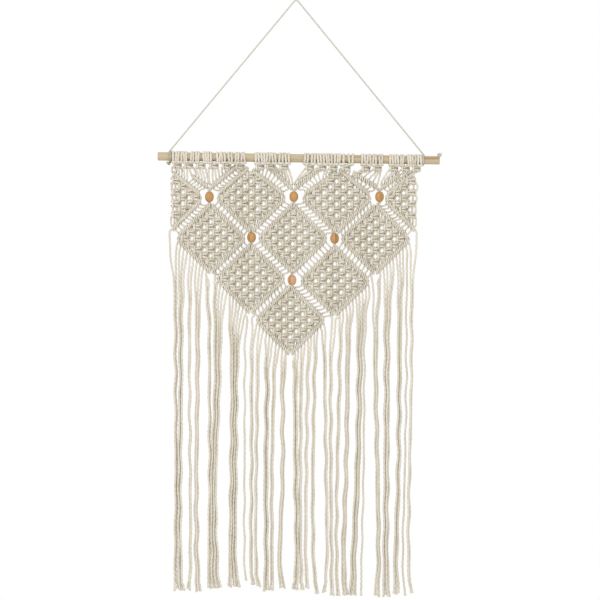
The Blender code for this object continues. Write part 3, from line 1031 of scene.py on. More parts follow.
PRESS = 0.34  # share of a cord's standing out that is lost where it is drawn tight
PRESS_FOOT = 7.0  # how far below the dowel's axis the pressing begins
PRESS_RAMP = 5.0  # height in which it reaches its full strength


def press_on_dowel(vertices: np.ndarray) -> np.ndarray:
    """Flattens cord that is drawn tight over the dowel, and leaves what hangs below it.

    Args:
        vertices: Places in metres, one row each.

    Returns:
        The same places, drawn in towards the wood.
    """
    x, depth, z = (vertices / MM).T
    axis = dowel_z(x)
    reach = np.hypot(depth, z - axis)
    weight = np.clip((z - axis + PRESS_FOOT) / PRESS_RAMP, 0.0, 1.0)
    share = 1.0 - PRESS * weight * np.clip(reach - DOWEL_RADIUS, 0.0, None) / reach
    return np.stack([x, depth * share, axis + (z - axis) * share], axis=1) * MM


@dataclass(frozen=True)
class Heading:
    """Two folded cords on the dowel, each in a lark's head, tied with one square knot."""

    number: int
    legs: tuple[float, float, float, float]
    knot_drop: float = 13.2
    knot_wide: float = 1.05
    radius: float = 1.6
    spread: float = 1.85  # a cord spreads where it is drawn tight on the wood
    knot_depth: float = -2.2
    bar_depth: float = -9.4
    bar_drop: float = 8.6  # from the dowel's axis down to the fold's bar
    tight_from: float = -6.0  # height on the wood above which the cord is drawn tight
    droop: Flat = (0.7, 0.9)  # how much lower the bar hangs, and how much that differs
    droop_turn: float = 2.9  # radians of that difference to a millimetre along the dowel
    lean: float = 0.7  # how far a leg leans on its way over the dowel
    lean_turn: float = 7.3
    lean_height: float = 8.0
    side_gap: float = 0.1

    def name(self) -> str:
        """The CAD node that this heading stands for."""
        return f"heading_{self.number:02d}"

    def fold(self, strand: Route, leg: float, partner: float) -> None:
        """Leads a leg from the fold's bar over the dowel, and down behind the bar again.

        Args:
            strand: The leg's strand.
            leg: Where it crosses the dowel.
            partner: Where the cord's other leg crosses.
        """
        axis = dowel_z(leg)
        out = -1.0 if leg < partner else 1.0
        strand.radius = self.radius
        middle = (leg + partner) / 2
        # no two folds are drawn up to the same height, and no leg lies square to the dowel
        droop = self.droop[0] + self.droop[1] * math.sin(self.droop_turn * middle)
        strand.go((middle, self.bar_depth, axis - self.bar_drop - droop))
        lean = self.lean * math.sin(self.lean_turn * leg)
        nearest = min(abs(leg - x) for legs in HEADING_LEGS for x in legs if x != leg)
        for dx, depth, dz in OVER_DOWEL:
            if dz > self.tight_from:
                strand.radius = max(self.radius, min(self.spread, nearest / 2 + self.side_gap))
            strand.go((leg + out * dx + lean * dz / self.lean_height, depth, axis + dz))

    def work(self, strands: list[Route]) -> None:
        """Folds both cords over the dowel and ties their four legs.

        Args:
            strands: All 72, by position.
        """
        middle = sum(self.legs) / 4
        mine = strands[4 * self.number - 4 : 4 * self.number]
        partners = (self.legs[1], self.legs[0], self.legs[3], self.legs[2])
        for strand, leg, partner, role in zip(mine, self.legs, partners, Role, strict=True):
            strand.piece = self.name()
            strand.step = KNOT_STEP
            self.fold(strand, leg, partner)
            height = dowel_z(middle) - self.knot_drop
            knot = SquareKnot(middle, height, self.knot_wide, depth=self.knot_depth)
            knot.tie(strand, role, 1)


@dataclass(frozen=True)
class Junction:
    """The open place between diamonds, where two strands go through a bead."""

    left: int  # position of the left strand
    x: float
    z: float
    spread: float = 1.2
    radius: float = 1.25
    heights: tuple[float, ...] = (10.0, 5.0, -5.0, -9.0)  # from the bead's middle

    def thread(self, strands: list[Route], piece: str) -> None:
        """Leads both strands down through the bead's bore.

        Args:
            strands: All 72, by position.
            piece: The name of the mesh piece that this run belongs to.
        """
        for side, strand in ((-1, strands[self.left - 1]), (1, strands[self.left])):
            strand.piece = piece
            strand.radius = self.radius
            for dz in self.heights:
                strand.go((self.x + side * self.spread, 0.0, self.z + dz))


@dataclass(frozen=True)
class Lattice:
    """The knotted part, worked row by row from the heading to its point."""

    arms: tuple[Arm, ...] = (
        Arm((-156.3, -263.25), (-132.3, -279.75), 7, 12),
        Arm((-90.3, -249.75), (-129.3, -281.25), 21, 13),
        Arm((-42.3, -248.25), (-6.3, -281.25), 29, 36),
        Arm((32.7, -254.25), (-1.8, -281.25), 43, 37),
        Arm((85.2, -258.75), (122.7, -281.25), 54, 60),
        Arm((155.7, -261.75), (127.2, -281.25), 66, 61),
    )
    rows: tuple[tuple[Diamond, ...], ...] = (
        (
            Diamond(
                -193.1, -296.3, 1, Half.RIGHT, 4.5, rises=(44.0, 44.0), shoulders=(5.0, 5.0),
                fall=54.0, hip=3.0, edge=(-187.9, -184.0),
            ),
            Diamond(
                -67.5, -296.3, 14, rises=(48.0, 42.5), shoulders=(7.0, 5.5), starts=(9.5, 5.8),
            ),
            Diamond(
                60.9, -297.0, 38, rises=(39.0, 46.0), shoulders=(5.4, 5.7), starts=(5.0, 8.5),
            ),
            Diamond(
                185.0, -297.0, 62, Half.LEFT, -4.5, rises=(44.0, 44.0), shoulders=(5.0, 5.0),
                fall=54.0, hip=3.0, edge=(183.2, 178.6), outer=(1.5, 1.36),
            ),
        ),
        (
            Diamond(-127.8, -357.2, 2, rises=(52.4, 50.5), shoulders=(1.9, 0.0)),
            Diamond(-5.1, -356.7, 26),
            Diamond(119.0, -358.2, 50, rises=(50.5, 52.4), shoulders=(0.0, 1.9)),
        ),
        (Diamond(-68.3, -417.3, 14), Diamond(58.2, -420.8, 38)),
        (Diamond(-8.9, -479.3, 26),),
    )
    bead_strands: tuple[tuple[int, ...], ...] = ((12, 36, 60), (24, 48), (36,))

    def work(self, strands: list[Route], beads: list[Flat]) -> None:
        """Ties the arms, the four rows of diamonds and the strands through the beads.

        Args:
            strands: All 72, by position. The arms change their order.
            beads: The middle (x, z) of each bead, from the top left.
        """
        for arm in self.arms:
            arm.work(strands, "lattice_arms")
        places = iter(beads)
        for number, row in enumerate(self.rows, start=1):
            for diamond in row:
                diamond.work(strands, f"lattice_row_{number}")
            if number <= len(self.bead_strands):
                for left in self.bead_strands[number - 1]:
                    x, z = next(places)
                    Junction(left, x, z).thread(strands, f"lattice_row_{number + 1}")


UPPER_Z = -569.0
MIDDLE_Z = -719.0
LOWER_Z = -839.0


@dataclass(frozen=True)
class Tuft:
    """A bunch of loose strands: how many, the x of its middle on its way down, and its end."""

    strands: int
    upper: float  # at UPPER_Z
    middle: float  # at MIDDLE_Z
    lower: float  # at LOWER_Z
    tip: float
    tip_z: float


# From left to right, in millimetres, merged and rounded. A script measured the strands on their
# way down in the photograph, and the ends were read in it by eye.
TUFTS: list[Tuft] = [
    Tuft(2, -181, -180, -181, -180, -885),
    Tuft(3, -173, -175, -175, -171, -886),
    Tuft(2, -160, -159, -158, -162, -884),
    Tuft(3, -148, -150, -150, -147, -886),
    Tuft(2, -130, -130, -131, -130, -882),
    Tuft(5, -118, -124, -123, -119, -881),
    Tuft(6, -93, -94, -96, -93, -879),
    Tuft(1, -77, -78, -79, -76, -872),
    Tuft(2, -67, -67, -69, -65, -877),
    Tuft(2, -58, -60, -62, -56, -879),
    Tuft(3, -44, -46, -45, -45, -886),
    Tuft(2, -33, -37, -36, -37, -885),
    Tuft(3, -21, -20, -26, -20, -882),
    Tuft(3, -2, -1, 1, -2, -884),
    Tuft(2, 7, 6, 6, 9, -885),
    Tuft(2, 17, 15, 14, 17, -883),
    Tuft(2, 27, 25, 25, 31, -890),
    Tuft(2, 43, 45, 47, 42, -889),
    Tuft(2, 52, 52, 53, 54, -893),
    Tuft(2, 65, 61, 60, 63, -892),
    Tuft(3, 77, 75, 70, 74, -892),
    Tuft(4, 95, 92, 86, 84, -893),
    Tuft(1, 102, 101, 98, 97, -894),
    Tuft(3, 119, 122, 124, 121, -894),
    Tuft(4, 136, 135, 134, 136, -894),
    Tuft(3, 155, 153, 149, 150, -891),
    Tuft(1, 165, 163, 159, 163, -892),
    Tuft(2, 173, 169, 168, 173, -890),
]
TUFT_PITCH = 1.9  # between neighbours in a tuft, which lie partly behind each other
TIP_PITCH = 3.2  # between their ends, which open out
TIP_STRAY = 0.8  # how far an end strays sideways
CUT_STRAY = 1.8  # and up or down

# Seeds of the random draws; the first three are added to a strand's index
LEAD_SEED = 300
FRAY_SEED = 500
TIP_SEED = 900
WAVE_SEED = 72
TONE_SEED = 36

CORD_TONES: Flat = (0.14, 0.36)  # the least and most of a cord's own tone


def tuft_of(index: int) -> tuple[Tuft, float]:
    """The tuft that a strand hangs in, and its place there.

    Args:
        index: The strand's position, less one.

    Returns:
        The tuft, and how many strands it lies to the right of the tuft's middle.
    """
    for tuft in TUFTS:
        if index < tuft.strands:
            return tuft, index - (tuft.strands - 1) / 2
        index -= tuft.strands
    raise ValueError("no tuft holds this strand")


def strand_tip(index: int) -> Flat:
    """Where a strand ends: with its tuft, opened out, and no two cut level.

    Args:
        index: The strand's position, less one.

    Returns:
        The tip as (x, z).
    """
    tuft, across = tuft_of(index)
    random = np.random.default_rng(TIP_SEED + index)
    x = tuft.tip + TIP_PITCH * across + float(random.uniform(-TIP_STRAY, TIP_STRAY))
    return x, tuft.tip_z + float(random.uniform(-CUT_STRAY, CUT_STRAY))


# How far sideways the strands at a diamond's lowest corner, and at the edges, turn as they
# leave it. Each of the others turns outwards by the fringe's arch.
FRINGE_ARCHES: dict[int, float] = {
    0: -4.4, 11: -5.5, 12: 4.0, 23: -5.8, 24: 3.0, 35: -5.0,
    36: 4.5, 47: -3.5, 48: 5.0, 59: -4.0, 60: 5.5, 71: 3.2,
}


# How those strands turn: (share of the turn, depth, up)
ARCH_LINE: tuple[Point, ...] = ((0.75, -0.5, -1.8), (1.0, -0.3, -6.0))

# The waves that neighbours share: (height to a radian, radians to a millimetre across,
# radians at the start, share), then each strand's own one: (height to a radian, share)
WAVES = ((10.4, 0.11, 0.0, 1.0), (8.1, -0.07, 1.3, 0.6))
OWN_WAVE: Flat = (9.2, 0.4)
WAVE_HEIGHT = 1.6  # what the shared waves add up to


@dataclass(frozen=True)
class Fray:
    """What opens at a strand's cut end: its yarns, or the loose fibres among them."""

    count: int
    rows: int  # points on each
    even: bool  # whether they stand evenly round the strand
    start: float  # how far from the strand's middle they begin
    opens: Flat  # the least and most that they move away from there
    power: float  # of the share of their length, by which they do so
    cut: Flat  # the least and most that they end above the tip
    turn: float  # radians
    radii: Flat  # at the root and at the end
    step: float
    corners: int


YARNS = Fray(
    count=6, rows=6, even=True, start=0.7, opens=(0.2, 1.3), power=1.8, cut=(0.0, 1.8),
    turn=1.5, radii=(0.78, 0.72), step=1.8, corners=6,
)
FIBRES = Fray(
    count=4, rows=4, even=False, start=0.8, opens=(0.3, 1.7), power=2.0, cut=(-0.8, 1.0),
    turn=0.3, radii=(0.24, 0.14), step=3.0, corners=3,
)


@dataclass(frozen=True)
class Fringe:
    """The loose lower ends, which hang in bunches and end in frayed tips."""

    cord: float = 3.05  # thickness
    level: float = 11.0  # height between the points of a strand
    layer: float = 0.8  # how far every second strand stands forward or back
    settle: float = 60.0  # length over which it gets there
    sway: float = 0.95  # how far a strand waves to each side of its line
    frayed: float = 7.0  # length of the untwisted end
    arch: float = 3.1  # how far sideways a strand turns as it leaves its last hitch
    arch_drop: float = 9.0  # height in which it does so
    gathering: float = 0.4  # share of the way to UPPER_Z in which a tuft comes together
    least_gathering: float = 20.0
    loose: float = 1.3  # how much wider a tuft is there
    stray: float = 0.7  # how far a strand strays from its place in its tuft
    to_tip: float = 0.65  # share of the way across to its tip at which an end frays
    top: float = -345.0  # the highest and the lowest level
    foot: float = -889.0
    hitch_gap: float = 7.0  # how far below its last hitch a strand is free to move
    fray_gap: float = 3.0  # and how far above its frayed end it stops being so
    softening: int = 3  # rounds of smoothing before the strands push each other
    rounds: int = 90  # of pushing apart
    neighbours: int = 8  # how many to each side a strand can push
    least_gap: float = 0.05  # so that two strands at one place have a way to part
    shove: float = 0.42  # share of an overlap by which each of the two moves
    pull: Flat = (0.06, 0.02)  # back to its own place, across and in depth
    evening: float = 0.35  # how much of a bend a round takes out
    deepest: float = 7.0
    ring_step: float = 2.25
    end_step: float = 1.6
    end_run: float = 1.6  # length in which an end narrows to what its yarns hide
    end_radius: float = 1.05
    end_lag: float = 0.1  # share of the way across that is left for that length
    root: float = 1.5  # how far up inside the strand its yarns begin
    lighter: float = 0.12  # tone added to a cut end's yarns: painted light that offsets the shade between them
    swing_levels: int = 5  # in which the outermost strands come in again

    def near_tip(self, x: float, tip_x: float) -> float:
        """Where the end of a strand at x frays, on its way across to its tip."""
        return (1 - self.to_tip) * x + self.to_tip * tip_x

    def targets(self, index: int, start: Flat) -> tuple[list[float], list[float]]:
        """The heights at which one strand is led, and its place at each.

        Args:
            index: The strand's position, less one.
            start: Where it leaves its last hitch.

        Returns:
            Heights, from the top down, and the x at each.
        """
        turn = FRINGE_ARCHES.get(index, -self.arch if index < LEFT_HALF else self.arch)
        tuft, across = tuft_of(index)
        random = np.random.default_rng(LEAD_SEED + index)
        gathered = start[1] - max(self.least_gathering, self.gathering * (start[1] - UPPER_Z))
        heights = [start[1], start[1] - self.arch_drop, gathered]
        places = [start[0], start[0] + turn, tuft.upper + self.loose * TUFT_PITCH * across]
        middles = ((UPPER_Z, tuft.upper), (MIDDLE_Z, tuft.middle), (LOWER_Z, tuft.lower))
        for height, middle in middles:
            if height < gathered:
                astray = float(random.uniform(-self.stray, self.stray))
                heights.append(height)
                places.append(middle + TUFT_PITCH * across + astray)
        tip = strand_tip(index)
        heights.append(tip[1] + self.frayed)
        places.append(self.near_tip(places[-1], tip[0]))
        return heights, places

    def settle_down(self, strands: list[Route]) -> tuple[np.ndarray, np.ndarray, np.ndarray]:
        """Places every strand at every height, a cord's thickness from its neighbours.

        Args:
            strands: All 72, as they leave the lattice.

        Returns:
            The heights, the x and depth of each strand at each height, and whether it hangs
            free there.
        """
        heights = np.arange(self.top, self.foot, -self.level)
        goal = np.zeros((STRANDS, len(heights), 2))
        free = np.zeros((STRANDS, len(heights)), dtype=bool)
        for i, strand in enumerate(strands):
            x, _, z = strand.points[-1]
            down, across = self.targets(i, (x, z))
            goal[i, :, 0] = np.interp(-heights, [-h for h in down], across)
            ramp_in = np.clip((z - heights) / self.settle, 0.0, 1.0)
            goal[i, :, 1] = self.layer * (1 if i % 2 else -1) * ramp_in
            free[i] = (heights < z - self.hitch_gap) & (heights > down[-1] + self.fray_gap)
        for _ in range(self.softening):
            middle = (goal[:, :-2, 0] + goal[:, 2:, 0]) / 2
            goal[:, 1:-1, 0] = 0.5 * goal[:, 1:-1, 0] + 0.5 * middle
        place = goal.copy()
        for _ in range(self.rounds):
            push = np.zeros_like(place)
            for apart in range(1, self.neighbours + 1):
                gap = place[apart:] - place[:-apart]
                far = np.maximum(np.linalg.norm(gap, axis=2), self.least_gap)
                both = free[apart:] & free[:-apart]
                short = np.where(both, np.clip(self.cord - far, 0.0, None), 0.0)
                shove = gap / far[..., None] * (self.shove * short)[..., None]
                push[apart:] += shove
                push[:-apart] -= shove
            place += push
            place += (goal - place) * np.array(self.pull)
            smooth = (place[:, :-2] + place[:, 2:]) / 2 - place[:, 1:-1]
            place[:, 1:-1] += self.evening * smooth * free[:, 1:-1, None]
            place[..., 1] = np.clip(place[..., 1], -self.deepest, self.deepest)
        # cotton that was wound on a reel waves; neighbours wave together, so none cut across
        down, x = heights[None, :], place[..., 0]
        own = np.random.default_rng(WAVE_SEED).uniform(0.0, math.tau, (STRANDS, 1))
        wave = OWN_WAVE[1] * np.sin(down / OWN_WAVE[0] + own)
        for height, across, begin, share in WAVES:
            wave = wave + share * np.sin(down / height + across * x + begin)
        place[..., 0] += free * self.sway * wave / WAVE_HEIGHT
        return heights, place, free

    def hang(self, strands: list[Route]) -> None:
        """Leads all strands down from the lattice to their frayed ends.

        Args:
            strands: All 72, by position.
        """
        heights, place, free = self.settle_down(strands)
        for i, strand in enumerate(strands):
            strand.piece = "fringe_left" if i < LEFT_HALF else "fringe_right"
            strand.step = self.ring_step
            strand.radius = 0.5 * self.cord
            levels = np.flatnonzero(free[i])
            swing = 0.0
            if i in FRINGE_ARCHES:
                x, _, z = strand.points[-1]
                turn = FRINGE_ARCHES[i]
                strand.go(*((x + share * turn, depth, z + dz) for share, depth, dz in ARCH_LINE))
                if i in (0, STRANDS - 1):  # the outermost two swing wide before they hang straight
                    swing = x + turn - place[i, levels[0], 0]
            for step, k in enumerate(levels):
                x = place[i, k, 0] + swing * max(0.0, 1.0 - step / self.swing_levels)
                strand.go((float(x), float(place[i, k, 1]), float(heights[k])))
            tip = strand_tip(i)
            last = strand.points[-1]
            strand.step = self.end_step
            x, z = self.near_tip(last[0], tip[0]), tip[1] + self.frayed
            strand.go((x - self.end_lag * (x - last[0]), last[1], z + self.end_run))
            strand.radius = self.end_radius
            strand.go((x, last[1], z))

    def frayed_end(self, strand: Route, index: int, tone: float) -> list[Rings]:
        """The six yarns that open at a strand's end, and four loose fibres among them.

        Args:
            strand: The strand, led down to where it frays.
            index: Its position, less one.
            tone: The cord's own tone. The cut end is painted brighter, as painted light against the
                shade between its yarns.

        Returns:
            The rings of each.
        """
        random = np.random.default_rng(FRAY_SEED + index)
        x, depth, z = strand.points[-1]
        tip_x, tip_z = strand_tip(index)
        top = z + self.root
        made: list[Rings] = []
        for fray in (YARNS, FIBRES):
            for number in range(fray.count):
                angle = math.tau * (number / fray.count if fray.even else float(random.random()))
                opens = float(random.uniform(*fray.opens))
                cut = tip_z + float(random.uniform(*fray.cut))
                points = []
                for share in np.linspace(0.0, 1.0, fray.rows):
                    turn = angle + fray.turn * share
                    out = fray.start + opens * share**fray.power
                    points.append((
                        x + (tip_x - x) * share + out * math.cos(turn),
                        depth + out * math.sin(turn),
                        top + (cut - top) * share,
                    ))
                end = smooth_rings(
                    np.array(points), np.linspace(*fray.radii, fray.rows),
                    np.full(fray.rows, fray.step), [strand.piece] * (fray.rows - 1),
                    # painted light: the cut end's yarns are brightened against the shade between
                    # them
                    tone + self.lighter,
                )
                end.lay = Lay(plies=1, turn_mm=90.0, corners=fray.corners, groove=0.0)
                made.append(end)
        return made


class Yarn:
    """All the cotton: 72 strands by position, which are the legs of 36 folded cords."""

    def __init__(self) -> None:
        """Starts with 72 empty strands."""
        self.strands = [Route() for _ in range(STRANDS)]
        self.by_leg = list(self.strands)

    def cords(self, fringe: Fringe) -> list[Rings]:
        """Each folded cord as one run of rings, from tip to tip, and its frayed ends.

        Args:
            fringe: What frays the ends.

        Returns:
            Rings, with their directions.
        """
        random = np.random.default_rng(TONE_SEED)
        made: list[Rings] = []
        for i in range(0, STRANDS, 2):
            left, right = self.by_leg[i], self.by_leg[i + 1]
            tone = float(random.uniform(*CORD_TONES))
            points = np.array(left.points[::-1] + right.points[1:])
            radii = np.array(left.radii[::-1] + right.radii[1:])
            steps = np.array(left.steps[::-1] + right.steps[1:])
            tags = left.pieces[:-1][::-1] + right.pieces[:-1]
            made.append(smooth_rings(points, radii, steps, tags, tone))
            for leg in (left, right):
                made += fringe.frayed_end(leg, self.strands.index(leg), tone)
        carry_frames(made)
        return made

    def build(self, fringe: Fringe, cotton: bpy.types.Material) -> dict[str, bpy.types.Object]:
        """Joins the tubes into one object for each piece.

        Args:
            fringe: What frays the ends.
            cotton: The finish.

        Returns:
            The objects by piece name.
        """
        tubes: dict[str, TubeMesh] = {}
        for cord in self.cords(fringe):
            start = 0
            for end in range(1, len(cord.pieces) + 1):
                if end < len(cord.pieces) and cord.pieces[end] == cord.pieces[start]:
                    continue
                mesh = tubes.setdefault(cord.pieces[start], TubeMesh())
                last = min(end, len(cord.pieces) - 1)
                if last > start:
                    mesh.add(cord, start, last)
                start = end
        for name, tube in tubes.items():
            if name.startswith("heading"):
                tube.vertices = [press_on_dowel(part) for part in tube.vertices]
        return {name: tube.build(f"{name}_cotton", cotton) for name, tube in tubes.items()}


# ---------------------------------------------------------------- wood and twine


def turned(name: str, profile: list[Flat], sides: int, closed: bool) -> bpy.types.Object:
    """A body turned round its own X axis.

    Args:
        name: The object's name.
        profile: Points (x, radius) in millimetres.
        sides: How many sides the round has.
        closed: Whether the profile is a ring. If not, its two ends lie on the axis.

    Returns:
        The object, smooth shaded, in metres.
    """
    built = bmesh.new()
    rows = []
    for x, radius in profile:
        if radius < 1e-6:
            rows.append([built.verts.new((x * MM, 0.0, 0.0))] * sides)
            continue
        ring = []
        for i in range(sides):
            a, r = math.tau * i / sides, radius * MM
            ring.append(built.verts.new((x * MM, r * math.cos(a), r * math.sin(a))))
        rows.append(ring)
    pairs = list(zip(rows, rows[1:] + rows[:1])) if closed else list(zip(rows, rows[1:]))
    for row, following in pairs:
        for i in range(sides):
            j = (i + 1) % sides
            corners = dict.fromkeys((row[i], following[i], following[j], row[j]))
            built.faces.new(list(corners))
    bmesh.ops.recalc_face_normals(built, faces=built.faces)
    mesh = bpy.data.meshes.new(name)
    built.to_mesh(mesh)
    built.free()
    for face in mesh.polygons:
        face.use_smooth = True
    made = bpy.data.objects.new(name, mesh)
    bpy.context.scene.collection.objects.link(made)
    return made


@dataclass(frozen=True)
class Dowel:
    """A sanded wooden dowel, sawn to length, with its ends just broken by sandpaper."""

    radius: float = DOWEL_RADIUS
    bevel: float = 0.5
    face: float = 3.0  # radius of a ring on its sawn ends, inside the rim
    untrue: float = 0.02  # how far sanding leaves it from a true round
    untrue_turn: float = 0.09  # radians of that to a millimetre along it
    rings: int = 56
    sides: int = 64

    def build(self, wood: bpy.types.Material) -> bpy.types.Object:
        """Turns the dowel and lays it in its place.

        Args:
            wood: The finish, whose grain runs along it.

        Returns:
            The dowel.
        """
        half = 0.5 * math.dist(DOWEL_LEFT, DOWEL_RIGHT)
        inner = half - self.bevel
        rim = self.radius - self.bevel
        profile: list[Flat] = [(-half, 0.0), (-half, self.face), (-half, rim)]
        for i in range(self.rings + 1):
            x = -inner + 2 * inner * i / self.rings
            swell = self.untrue * math.sin(x * self.untrue_turn)
            profile.append((x, self.radius - self.untrue + swell))
        profile += [(half, rim), (half, self.face), (half, 0.0)]
        made = turned("dowel_wood", profile, self.sides, closed=False)
        made.matrix_world = on_dowel((DOWEL_LEFT[0] + DOWEL_RIGHT[0]) / 2)
        made.data.materials.append(wood)
        return made


@dataclass(frozen=True)
class Bead:
    """An oval wooden bead, bored through and waxed, with its bore upright."""

    number: int
    width: float = 13.4
    height: float = 14.8
    bore: float = 2.75
    mouth: float = 3.4
    lip: tuple[Flat, ...] = ((0.1, 3.1), (0.4, 2.9), (1.3, 2.8))  # depth in the mouth, radius
    rows: int = 20
    sides: int = 44
    grain_turn: float = 0.8  # radians from one bead's grain to the next one's

    def node(self) -> str:
        """The CAD node that it stands for."""
        return f"bead_{self.number}"

    def middle(self) -> Flat:
        """Its middle (x, z) in millimetres, from the CAD."""
        low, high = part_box(self.node())
        return (low[0] + high[0]) / 2 / MM, (low[2] + high[2]) / 2 / MM

    def build(self, wood: bpy.types.Material) -> bpy.types.Object:
        """Turns the bead and stands it in its place.

        Args:
            wood: The finish.

        Returns:
            The bead.
        """
        half = self.height / 2
        profile: list[Flat] = []
        for i in range(self.rows + 1):
            t = -1.0 + 2 * i / self.rows
            belly = (self.width**2 / 4 - self.mouth**2) * (1 - t * t)
            profile.append((half * t, math.sqrt(self.mouth**2 + belly)))
        lip = [(half - deep, radius) for deep, radius in self.lip]
        profile += lip + [(half / 2, self.bore), (-half / 2, self.bore)]
        profile += [(-x, radius) for x, radius in reversed(lip)]
        made = turned(f"{self.node()}_wood", profile, self.sides, closed=True)
        x, z = self.middle()
        made.matrix_world = Matrix.Translation((x * MM, 0.0, z * MM)) @ Matrix.Rotation(
            math.pi / 2, 4, "Y"
        ) @ Matrix.Rotation(self.grain_turn * self.number, 4, "X")
        made.data.materials.append(wood)
        return made


@dataclass(frozen=True)
class HangingCord:
    """Thin twine from tie to tie, bent over the point that it hangs from, the row's origin."""

    thickness: float = 2.0
    bend: float = 4.0  # radius at that point
    bend_steps: int = 6
    spacing: float = 16.0
    lift: float = 0.3
    rise: float = 1.0
    drawn: float = 0.58  # radius of its mesh, as a share of its thickness
    ring_step: float = 1.5
    tone: float = 0.3

    def foot(self, x: float) -> np.ndarray:
        """Where the cord leaves its tie.

        Args:
            x: Where the tie is on the dowel.

        Returns:
            The place, in millimetres.
        """
        lean = math.atan2(abs(x), -dowel_z(x))
        outer = (DOWEL_RADIUS + TIE_CLEARANCE) / math.cos(math.pi / TIE_SIDES) + TIE_THICKNESS
        lift = self.lift + self.rise * math.sin(lean)
        return np.array([x, 0.0, dowel_z(x) + outer + lift])

    def route(self) -> np.ndarray:
        """The cord's centreline, the same as in the CAD.

        Returns:
            Its points.
        """
        left, right = self.foot(LEFT_TIE_X), self.foot(RIGHT_TIE_X)
        rise, fall = math.atan2(-left[2], -left[0]), math.atan2(-right[2], right[0])
        steps = self.bend_steps
        turns = [math.pi / 2 + rise - i / steps * (rise + fall) for i in range(steps + 1)]
        bend = [self.bend * np.array([math.cos(a), 0.0, math.sin(a) - 1.0]) for a in turns]
        count = round(float(np.linalg.norm(left)) / self.spacing)
        up = [left + (bend[0] - left) * i / count for i in range(count)]
        down = [bend[-1] + (right - bend[-1]) * (i + 1) / count for i in range(count)]
        return np.array(up + bend + down)

    def build(self, twine: bpy.types.Material) -> bpy.types.Object:
        """Args:
            twine: The finish.

        Returns:
            The cord.
        """
        route = self.route()
        count = len(route)
        rings = smooth_rings(
            route, np.full(count, self.drawn * self.thickness),
            np.full(count, self.ring_step),
            ["cord"] * (count - 1), self.tone,
        )
        rings.lay = Lay(plies=2, turn_mm=8.0, corners=10, groove=0.09)
        carry_frames([rings])
        tube = TubeMesh()
        tube.add(rings, 0, len(rings.centres) - 1)
        made = tube.build("hanging_cord_twine", twine)
        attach(made, BODY)
        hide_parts("hanging_cord")
        return made


@dataclass(frozen=True)
class Tie:
    """The hanging cord's end: turns round the dowel, and a small knot or a loose tail."""

    node: str
    x: float
    ends: tuple[tuple[Point, ...], ...]
    turns: float = 2.0
    thickness: float = TIE_THICKNESS
    points_a_turn: int = 12
    pitch: float = 0.98  # between turns, as a share of the thickness
    pressed: float = 0.97  # how much of its thickness it keeps on the wood
    drawn: float = 0.49  # radius of its mesh, as a share of its thickness
    ring_step: float = 0.7
    tone: float = 0.3

    def coil(self) -> list[Point]:
        """The turns, from the top of the dowel and back to it.

        Returns:
            Their points.
        """
        matrix = on_dowel(self.x)
        points: list[Point] = []
        steps = round(self.points_a_turn * self.turns)
        for i in range(steps + 1):
            a = math.tau * i / self.points_a_turn
            along = (i / steps - 0.5) * self.turns * self.thickness * self.pitch
            reach = DOWEL_RADIUS + self.pressed * self.thickness / 2
            local = Vector((along * MM, -math.sin(a) * reach * MM, math.cos(a) * reach * MM))
            at = matrix @ local
            points.append((at.x / MM, at.y / MM, at.z / MM))
        return points

    def build(self, twine: bpy.types.Material) -> bpy.types.Object:
        """Builds the tie as one joined mesh.

        Args:
            twine: The finish.

        Returns:
            The tie.
        """
        tube = TubeMesh()
        runs: list[Rings] = []
        for points in (tuple(self.coil()), *self.ends):
            count = len(points)
            rings = smooth_rings(
                np.array(points), np.full(count, self.drawn * self.thickness),
                np.full(count, self.ring_step), [self.node] * (count - 1), self.tone,
            )
            rings.lay = Lay(plies=2, turn_mm=8.0, corners=8, groove=0.12)
            runs.append(rings)
        carry_frames(runs)
        for rings in runs:
            tube.add(rings, 0, len(rings.centres) - 1)
        made = tube.build(f"{self.node}_twine", twine)
        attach(made, BODY)
        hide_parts(self.node)
        return made


RISER_RUNS = (-3.2, -1.8, -0.6, 0.5)  # from the cord's foot, along the cord's own line


def riser(x: float) -> tuple[Point, ...]:
    """The line on which a tie comes up out of its turns and meets the hanging cord.

    Args:
        x: Where the tie is on the dowel.

    Returns:
        Its points.
    """
    foot = HangingCord().foot(x)
    up = -foot / np.linalg.norm(foot)
    line = [foot + up * run for run in RISER_RUNS]
    return tuple((float(p[0]), float(p[1]), float(p[2])) for p in line)


def small_knot(x: float, z: float, size: Point) -> tuple[Point, ...]:
    """The line of a cord in a tight overhand knot.

    Args:
        x: Its middle across.
        z: Its middle's height.
        size: Half its width, depth and height.

    Returns:
        Its points.
    """
    points = []
    count = 19
    for i in range(count):
        t = math.tau * (i / count - 0.02)
        points.append((
            x + size[0] * (math.sin(t) + 2 * math.sin(2 * t)) / 3,
            size[1] * -math.sin(3 * t),
            z + size[2] * (math.cos(t) - 2 * math.cos(2 * t)) / 3,
        ))
    return tuple(points)


# ---------------------------------------------------------------- studio


